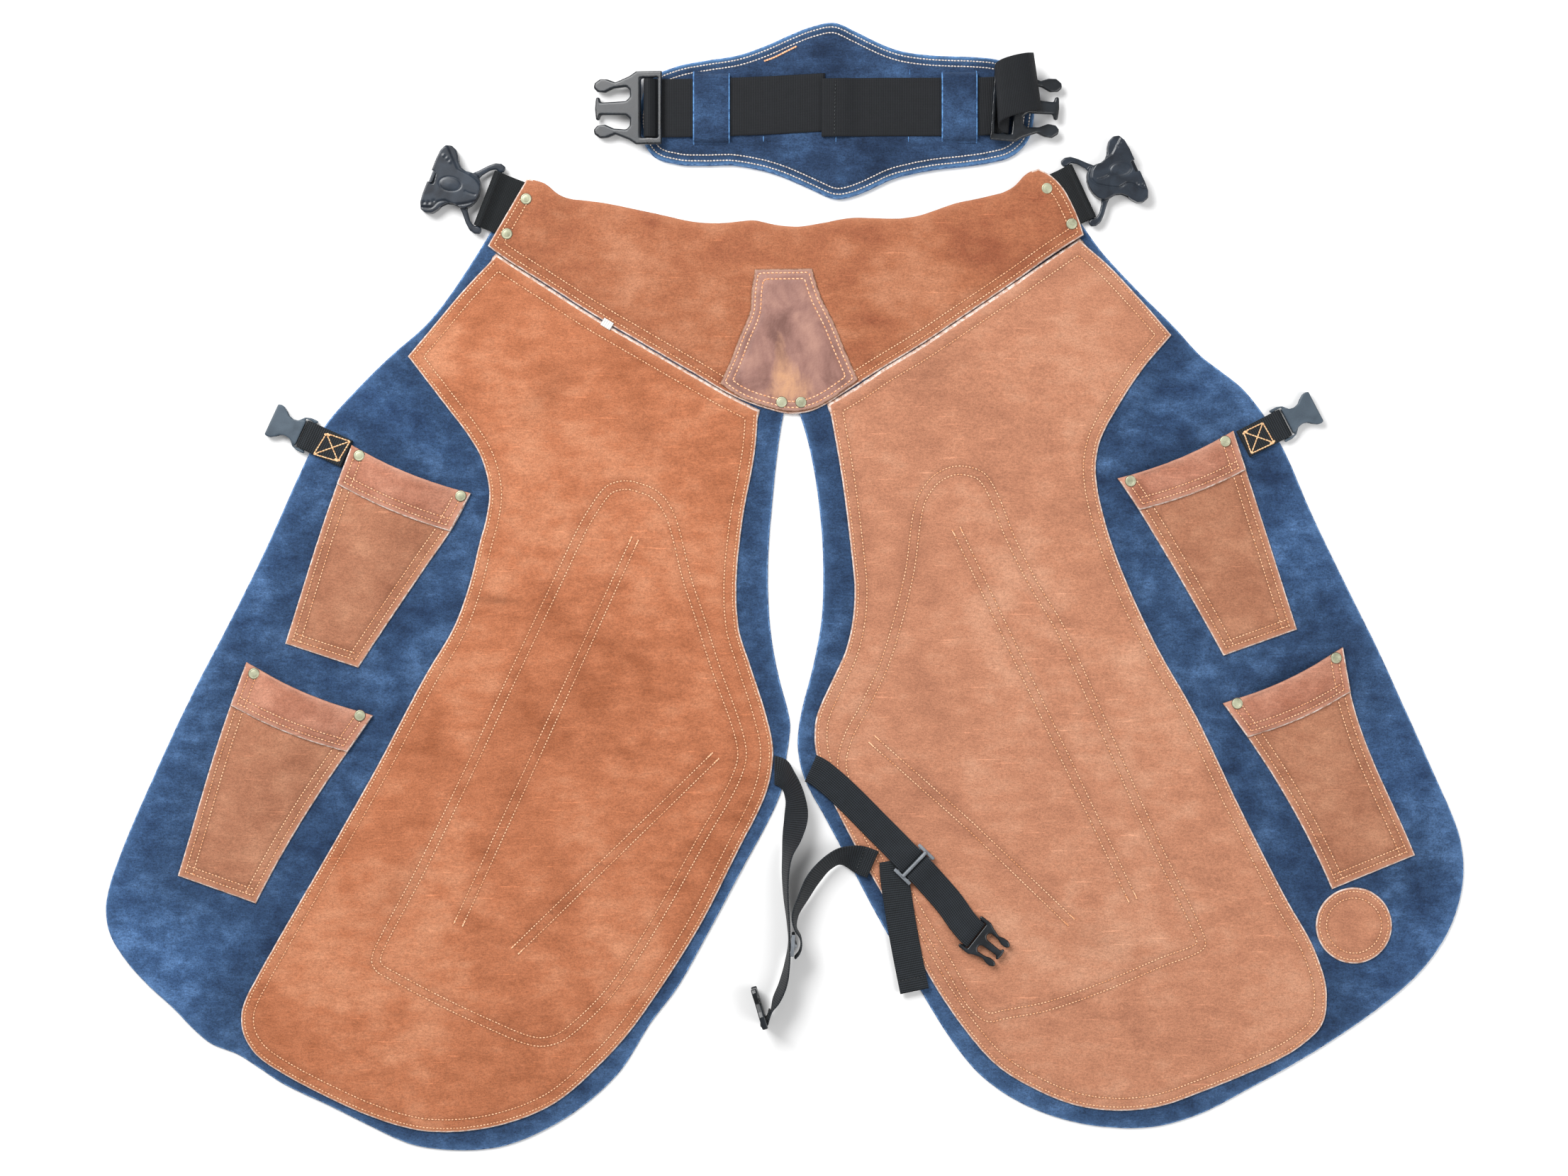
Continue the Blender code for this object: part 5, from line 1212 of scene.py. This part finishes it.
legStraps = {
    "leg_strap_right": ((22.3, -156, 5.0, -24, 0), (28, -158.8, 5.0, -34, 0), (38, -166.4, 5.0, -40, 0),
                        (57, -183.8, 5.0, -43, 0), (77.6, -204.6, 5.2, -44, 0), (96, -223, 7.2, -44, 0),
                        (106.2, -233.4, 9.75, -44, 0), (107.5, -234.7, 9.3, -44, 0),
                        (111.2, -238.3, 7.2, -44, 0), (114.9, -241.9, 9.3, -44, 0),
                        (116.2, -243.2, 9.75, -44, 0), (126, -254, 7.4, -46, 0), (142, -272.5, 6.9, -51, 0),
                        (153.5, -288.5, 9.7, -47, 0), (161.6, -297.5, 11.05, -38, 0),
                        (163.1, -298.65, 10.27, -38, 0), (163.7, -299.15, 8.4, -38, 0),
                        (163.1, -298.65, 6.53, -38, 0), (161.6, -297.5, 5.8, -38, 0),
                        (158.5, -294.3, 5.3, -41, 0), (150, -284.5, 4.98, -50, 0)),
    "strap_tail_right": ((93.5, -235, 5.0, -80, 0), (94.5, -250, 5.0, -85, 0), (97, -268, 5.0, -83, 0),
                         (101, -293, 5.0, -80, 0), (106, -320, 5.0, -78.5, 0), (111.5, -347.3, 5.0, -78, 0)),
    "leg_strap_left": ((-8.6, -157.9, 2.95, 0, 0), (-3, -159.6, 5.1, -12, 10), (3.1, -166.4, 10.8, -30, 40),
                       (8.4, -179, 12.2, -66, 48), (9.8, -197, 11.8, -88, 37), (6.4, -214.5, 13, -97, 50),
                       (2.4, -229, 14.8, -98, 70), (0.6, -247, 16.5, -92, 78), (1.2, -267, standing, -88, 82),
                       (3.2, -288, standing, -86, 86), (4.0, -306, standing, -90, 88),
                       (2.4, -322, standing, -98, 82), (-2, -342, standing, -106, 76),
                       (-7.9, -355.5, standing, -112, 79), (-11.3, -363, standing, -109, 90),
                       (-13.6, -369.7, standing, -107, 90), (-14.9, -373.9, standing, -105, 90),
                       (-16.35, -375.9, standing, -105, 90), (-18.4, -376, standing, -105, 90),
                       (-19.9, -374.65, standing, -105, 90), (-20, -372.6, standing, -105, 90),
                       (-18.9, -371.2, standing, -105, 90), (-15.35, -369.1, standing, -105, 90),
                       (-13, -362.4, standing, -107, 90)),
    "strap_tail_left": ((8.8, -317.5, standing, 40, 90), (12.2, -313.5, standing, 62, 90),
                        (14.2, -306.5, standing, 92, 90), (13.2, -299.5, standing, 118, 90),
                        (9.6, -293.5, standing, 116, 88), (8.6, -284.5, 16.4, 80, 80),
                        (16, -266, 15.4, 65, 68), (25.5, -249, 14.6, 55, 60), (36, -237.5, 13.8, 36, 60),
                        (46, -231.6, 12.2, 12, 54), (56, -231.8, 9.4, -10, 36), (65, -234.5, 7.0, -20, 10),
                        (75.5, -238.6, 5.1, -24, 0)),
}
for name, route in legStraps.items():
    piece = strapPiece(name + "_webbing", name, route, strap["legWidth"],
                       "legWebbingLong" if name == "leg_strap_right" else "legWebbing",
                       hem=11.0 if "tail" in name else 0.0)
    keepTop(name, piece)

# the folded ends of the two free tails are sewn across
hemLines = {"strap_tail_left": ((60.7, -245.4), (69.7, -223.8)),
            "strap_tail_right": ((97.4, -339.1), (121.0, -334.2))}
hemStitches = [s for name, line in hemLines.items()
               for s in stitchesAlong(np.array(line), [name], pitch=2.8, length=2.3, radius=0.6, lift=0.1)]
threadPiece("strap_tail_hems", hemStitches, "blackThread")

# Webbing folded back round a buckle's bar: it lies down by drop behind the bar and bulges ahead of it.
loops = {
    "waist": {"width": strap["waistWidth"], "finish": "waistWebbing", "barRadius": 2.0, "barHeight": 6.5,
              "drop": 6.0, "bulge": 0.6},
    "thigh": {"width": strap["legWidth"], "finish": "legWebbing", "barRadius": 1.5, "barHeight": 4.0,
              "drop": 5.6, "bulge": 2.2},
}
loopedStraps = {
    "waist_webbing_left": {"x": -253.8, "y": 332.5, "heading": 158.7, "length": 43.0},
    "waist_webbing_right": {"x": 252.9, "y": 338.4, "heading": 25.0, "length": 39.0},
    "thigh_webbing_left": {"x": -409.2, "y": 129.2, "heading": 155.2, "length": 36.3},
    "thigh_webbing_right": {"x": 425.4, "y": 138.7, "heading": 27.5, "length": 35.6},
}


def loopedRoute(x, y, heading, length, kind):
    barHeight, drop, bulge = kind["barHeight"], kind["drop"], kind["bulge"]
    lower = firstLayer + strap["thickness"] / 2
    upper = lower + strap["thickness"] + leather["air"]
    loop = kind["barRadius"] + 0.4 + strap["thickness"] / 2
    rows = [(length, lower), (drop + 6, lower), (drop, lower), (drop / 2, (lower + barHeight - loop) / 2)]
    rows += [(-(loop + bulge) * math.sin(math.radians(a)), barHeight - loop * math.cos(math.radians(a)))
             for a in range(0, 181, 30)]
    rows += [(drop * 0.5, (upper + barHeight + loop) / 2 + 0.4), (drop + 2.5, upper + 0.15),
             (drop + 5.5, upper), (length, upper)]
    u = Vector((math.cos(math.radians(heading)), math.sin(math.radians(heading))))
    return [(x - u.x * back, y - u.y * back, z, heading, 0) for back, z in rows]


for name, place in loopedStraps.items():
    kind = loops[name.split("_")[0]]
    piece = strapPiece(name + "_strap", name, loopedRoute(kind=kind, **place), kind["width"], kind["finish"])
    keepTop(name, piece)

# The crossed box that holds each thigh webbing to the leg.
thighBoxes = {"thigh_webbing_left": ((462, 612), (495, 623), (478, 651), (444, 641)),
              "thigh_webbing_right": ((1753, 610), (1780, 597), (1796, 625), (1764, 640))}
for name, box in thighBoxes.items():
    a, b, c, d = atPixels(*box)
    stitches = [s for p, q in ((a, b), (b, c), (c, d), (d, a), (a, c), (b, d))
                for s in stitchesAlong(np.array([p, q]), [name], pitch=2.5, length=3.0, radius=0.68,
                                       lift=0.3)]
    for corner in (a, c):                                  # where the thread runs back over itself
        towards = (a + c) / 2 - corner
        stitches.extend(bartack(corner + 0.1 * towards, math.degrees(math.atan2(towards[1], towards[0])) + 50,
                                [name], width=1.8, length=4.6))
    threadPiece(name + "_stitching", stitches, "tanThread")

beltStraps = {
    "belt_webbing_left": ((34.5, 415.4, 10.1, 180, 0), (-20, 412.4, 10.1, 180, 0), (-60, 411, 10.1, 180, 0),
                          (-98, 410.3, 10.4, 180, 0), (-107, 410.2, 10.5, 180, 0),
                          (-112.6, 410.2, 14.4, 180, 0), (-117, 410.2, 16.05, 180, 0),
                          (-119.3, 410.2, 15.1, 180, 0), (-120.15, 410.2, 12.9, 180, 0),
                          (-119.3, 410.2, 10.7, 180, 0), (-117, 410.2, 9.75, 180, 0),
                          (-110, 410.2, 8.6, 180, 0)),
    "belt_webbing_right": ((31.5, 410.6, 11.9, 0, 0), (52, 410.9, 11.9, 0, 0), (62, 411, 10.4, 0, 0),
                           (80, 411.2, 10.1, 0, 0), (133, 411.4, 10.1, 0, 0), (170, 411.8, 10.2, -2, 0),
                           (182, 412.5, 11.0, -4, 0), (189.5, 413, 11.45, -4, 0), (191.8, 412.9, 12.4, -4, 0),
                           (192.65, 412.8, 14.6, -4, 0), (191.8, 412.9, 16.8, -4, 0),
                           (189.5, 413.2, 17.75, -4, 0), (186.5, 414.2, 18.8, -2, 0),
                           (184, 415.8, 20.0, 0, 0), (182.2, 418, 21.3, 2, 0), (181.6, 420.3, 22.6, 4, 0),
                           (183, 422.6, 23.8, 5, 0), (187, 425, 24.5, 6, 0), (194, 427.6, 24.6, 7, 0),
                           (203, 430, 23.9, 8, 0), (211, 431.6, 21.6, 8, 0), (216, 432.4, 16.5, 8, 0)),
}
for name, route in beltStraps.items():
    piece = strapPiece(name + "_strap", name, route, strap["waistWidth"], "beltWebbing")
    keepTop(name, piece)
hem = stitchesAlong(np.array([(42.5, 387.5), (43.5, 434)]), ["belt_webbing_right"], pitch=3.2, length=2.4,
                    radius=0.5, lift=0.25)
threadPiece("belt_webbing_stitching", hem, "blackThread")
print("webbing made")

# The back pad and its keepers

padSewing = {"rows": (3.7, 8.6)}


def padRows(outline):
    return [row for depth in padSewing["rows"] for row in insetRow(outline, depth)]


sewing, _ = leatherSheet("back_pad_suede", "back_pad", "padSuede", "navyCutEdge", rows=padRows, smoothing=16,
                         step=4.0, flatUnder=True, rimRoll=1.1)
threadPiece("back_pad_stitching", [s for row in sewing
                                   for s in stitchesAlong(row, ["back_pad_suede"], pitch=2.7, length=2.5,
                                                          radius=0.68)], "creamThread")
mend = rounded(atPixels((1078, 88), (1092, 83), (1106, 76), (1124, 67)))
threadPiece("back_pad_mend",
            stitchesAlong(mend, ["back_pad_suede"], pitch=2.0, length=2.6, radius=0.9, lift=0.4),
            "orangeThread")

# ends of the slits that the belt passes through, where they show beside it
slits = [((1077, 193), (1077, 203)), ((1283, 99), (1283, 108)), ((1281, 193), (1281, 204)),
         ((1179, 196), (1179, 201))]
slitEnds = [s for line in slits
            for s in stitchesAlong(atPixels(*line), ["back_pad_suede"], pitch=9.0, length=5.6, radius=0.45,
                                   lift=0.1)]
threadPiece("back_pad_slits", slitEnds, "keeperCutEdge")

padCrown = 9.0
keepers = {"belt_keeper_left": {"lowX": -78.7, "highX": -47.0, "middle": 410.7},
           "belt_keeper_right": {"lowX": 134.5, "highX": 165.3, "middle": 411.9}}
for name, keeper in keepers.items():
    # each end runs down into the pad, since the keeper is cut from the pad's own face between two slits
    over = padCrown + strap["thickness"] + 2 * leather["air"] + leather["thickness"] / 2 + 0.2
    inner = strap["waistWidth"] / 2 + 1.6
    across, middle = (keeper["lowX"] + keeper["highX"]) / 2, keeper["middle"]
    ends = [dropOn(["back_pad_suede"], across, middle + v) for v in (-31.5, 31.5)]
    rows = [(-31.5, ends[0] - 0.9), (-29.5, ends[0] - 0.2), (-inner, over - 0.5), (-inner + 3, over),
            (0, over), (inner - 3, over), (inner, over - 0.5), (29.5, ends[1] - 0.2), (31.5, ends[1] - 0.9)]
    route = [(across, middle + v, z, 90, 0) for v, z in rows]
    strapPiece(name + "_suede", name, route, keeper["highX"] - keeper["lowX"], "padSuede",
               thickness=leather["thickness"],
               edgeFinish="keeperCutEdge")

# The size label is a blank loop of ribbon.
label = {"x": -152.6, "y": 225.6, "width": 7.0, "height": 4.7, "turn": -31.0,
         "arc": ((-4.75, 0.0), (-2, 0.1), (0, 0.15), (2, 0.1), (4.75, 0.0))}
labelWay = Vector((math.cos(math.radians(label["turn"])), math.sin(math.radians(label["turn"]))))
labelRoute = [(label["x"] + labelWay.x * d, label["y"] + labelWay.y * d, label["height"] + z,
               label["turn"], 0) for d, z in label["arc"]]
strapPiece("size_label_ribbon", "size_label", labelRoute, label["width"], "satinRibbon",
           thickness=0.8)
print("pad made")

# Moulded hardware

hardware = {
    "waist_buckle_left": {"voxel": 0.65, "finish": "slatePlastic", "slot": "slate_plastic"},
    "waist_buckle_right": {"voxel": 0.65, "finish": "slatePlastic", "slot": "slate_plastic"},
    "thigh_buckle_left": {"voxel": 0.55, "finish": "thighPlastic", "slot": "slate_plastic"},
    "thigh_buckle_right": {"voxel": 0.55, "finish": "thighPlastic", "slot": "slate_plastic"},
    "leg_clip_left": {"voxel": 0.5, "finish": "blackPlastic", "slot": "black_plastic"},
    "leg_clip_right": {"voxel": 0.5, "finish": "blackPlastic", "slot": "black_plastic"},
    "belt_clip_left": {"voxel": 0.62, "finish": "blackPlastic", "slot": "black_plastic"},
    "belt_clip_right": {"voxel": 0.62, "finish": "blackPlastic", "slot": "black_plastic"},
    "triglide_left": {"voxel": 0.45, "finish": "greyPlastic", "slot": "grey_plastic"},
    "triglide_right": {"voxel": 0.45, "finish": "greyPlastic", "slot": "grey_plastic"},
}

# Marks moulded into the waist buckles, in photo pixels: a thumb oval, grip dots and the shell's parting line.
buckleMarks = {
    "waist_buckle_left": {
        "oval": ((637, 262), 15.0, 9.5, -8.0),
        "raised": ((628, 222), (633, 226), (637, 231)), "sunk": ((600, 288), (607, 288), (614, 286)),
        "line": ((594, 294.5), (611, 295), (620, 287), (630, 285.5), (641, 291.5), (660, 289.5), (674, 285),
                 (681, 276), (680, 264), (674, 255), (666, 249)),
        "nick": ((658, 272), (664, 275), (672, 277)), "slot": ((614, 248), (611.5, 259)),
        "plate": ((594, 294), (611, 295), (620, 287), (630, 285.5), (641, 291.5), (660, 289.5), (674, 285),
                  (681, 276), (680, 264), (674, 255), (666, 249), (648, 240), (640, 222), (634, 208),
                  (624, 206), (612, 212), (603, 240), (590, 262), (584, 288)),
    },
    "waist_buckle_right": {
        "oval": ((1579, 241), 15.0, 9.5, 10.0),
        "raised": ((1583, 199), (1578, 203), (1574, 209)), "sunk": ((1603, 262), (1611, 263), (1617, 262)),
        "line": ((1622, 269), (1607, 269), (1597, 262), (1587, 261), (1577, 267), (1558, 265), (1545, 262),
                 (1537, 254), (1538, 242), (1544, 233), (1552, 227)),
        "nick": ((1561, 250), (1555, 253), (1547, 255)), "slot": ((1600, 226), (1603.5, 237)),
        "plate": ((1622, 269), (1607, 269), (1597, 262), (1587, 261), (1577, 267), (1558, 265), (1545, 262),
                  (1537, 254), (1538, 242), (1544, 233), (1552, 227), (1566, 219), (1575, 202), (1580, 190),
                  (1590, 188), (1600, 194), (1610, 220), (1622, 240), (1628, 262)),
    },
}


def markBuckle(piece, marks):
    count = len(piece.data.vertices)
    co = np.zeros(count * 3)
    piece.data.vertices.foreach_get("co", co)
    co = co.reshape(-1, 3) * 1000
    normals = np.array([v.normal[:] for v in piece.data.vertices])
    top = (normals[:, 2] > 0.35) & (co[:, 2] > 8.0)
    place = co[:, :2]
    centre, wide, tall, turn = marks["oval"]
    middle = atPixels(centre)[0]
    turn = math.radians(turn)
    off = place - middle
    u = off[:, 0] * math.cos(turn) + off[:, 1] * math.sin(turn)
    v = -off[:, 0] * math.sin(turn) + off[:, 1] * math.cos(turn)
    radius = np.hypot(u / (wide * photo["mmPerPixel"]), v / (tall * photo["mmPerPixel"]))
    change = 0.55 * np.clip(1 - radius, 0, 1) ** 0.5 - 0.35 * np.exp(-((radius - 1.03) / 0.08) ** 2)
    for point in atPixels(*marks["raised"]):
        change += 0.5 * np.exp(-(np.hypot(*(place - point).T) / 1.1) ** 2)
    for point in atPixels(*marks["sunk"]):
        change -= 0.6 * np.exp(-(np.hypot(*(place - point).T) / 1.2) ** 2)
    slotLine = spaced(atPixels(*marks["slot"]), 0.4)
    change -= 3.6 * eased((1.9 - nearest(place, treeOf(slotLine))) / 0.8)
    plate = atPixels(*marks["plate"])
    toEdge = nearest(place, treeOf(spaced(np.vstack([plate, plate[:1]]), 0.5)))
    change += 0.7 * eased(np.where(within(place, plate), toEdge, 0.0) / 1.6)
    for groove, depth, halfWidth in (("line", 0.7, 0.55), ("nick", 0.5, 0.6)):
        grooveTree = treeOf(spaced(rounded(atPixels(*marks[groove])), 0.5))
        change -= depth * np.exp(-(nearest(place, grooveTree) / halfWidth) ** 2)
    co[:, 2] += np.where(top, change, 0.0)
    piece.data.vertices.foreach_set("co", (co / 1000).ravel())
    piece.data.update()


for name, spec in hardware.items():
    source = frame["nodes"][name]
    copy = bpy.data.objects.new(name + "_solid", source.data.copy())
    bpy.context.scene.collection.objects.link(copy)
    remesh = copy.modifiers.new("even skin", "REMESH")
    remesh.mode = "VOXEL"
    remesh.voxel_size = spec["voxel"] / 1000
    soften = copy.modifiers.new("mould radius", "SMOOTH")
    soften.factor = 0.5
    soften.iterations = 4
    bpy.context.view_layer.update()
    mesh = bpy.data.meshes.new_from_object(copy.evaluated_get(bpy.context.evaluated_depsgraph_get()))
    bpy.data.objects.remove(copy)
    mesh.materials.clear()
    mesh.materials.append(finishes[spec["finish"]])
    mesh.polygons.foreach_set("use_smooth", np.ones(len(mesh.polygons), bool))
    piece = bpy.data.objects.new(name + "_moulding", mesh)
    bpy.context.scene.collection.objects.link(piece)
    if name in buckleMarks:
        markBuckle(piece, buckleMarks[name])
    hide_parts(name)
    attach(piece, next((b for b in frame["bodies"] if b == name), "apron"))
print("hardware made")

# Floor, light and camera

studio = {"floorSize": 8.0, "world": 0.37, "sky": "#ffffff", "floor": "#f4f4f4"}
bpy.ops.mesh.primitive_plane_add(size=studio["floorSize"], location=(0, 0, -0.0003))
floor = bpy.context.object
floor.name = "floor"
floorMaterial, shader = newMaterial("paintedFloor", Roughness=0.8)
shader.inputs["Base Color"].default_value = fromHex(studio["floor"])
floor.data.materials.append(floorMaterial)
floor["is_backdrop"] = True

world = bpy.data.worlds.new("studio")
bpy.context.scene.world = world
world.use_nodes = True
world.node_tree.nodes["Background"].inputs["Color"].default_value = fromHex(studio["sky"])
world.node_tree.nodes["Background"].inputs["Strength"].default_value = studio["world"]

softboxes = {
    "keySoftbox": {"place": (-1.3, 1.5, 2.1), "size": 1.6, "power": 97.0},
    "fillSoftbox": {"place": (1.7, -0.6, 2.0), "size": 1.8, "power": 33.0},
}
for name, box in softboxes.items():
    light = bpy.data.lights.new(name, "AREA")
    light.energy = box["power"]
    light.size = box["size"]
    lamp = bpy.data.objects.new(name, light)
    lamp.location = box["place"]
    lamp.rotation_euler = (-Vector(box["place"])).to_track_quat("-Z", "Y").to_euler()
    bpy.context.scene.collection.objects.link(lamp)

view = {"lens": 85.0, "sensor": 36.0, "height": 3.185, "middle": (-0.0006, -0.0012)}
cameraData = bpy.data.cameras.new("copyStandCamera")
cameraData.lens = view["lens"]
cameraData.sensor_width = view["sensor"]
camera = bpy.data.objects.new("copyStandCamera", cameraData)
camera.location = (*view["middle"], view["height"])
bpy.context.scene.collection.objects.link(camera)
bpy.context.scene.camera = camera
bpy.context.scene.view_settings.view_transform = "Standard"
print("studio ready")

low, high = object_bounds()
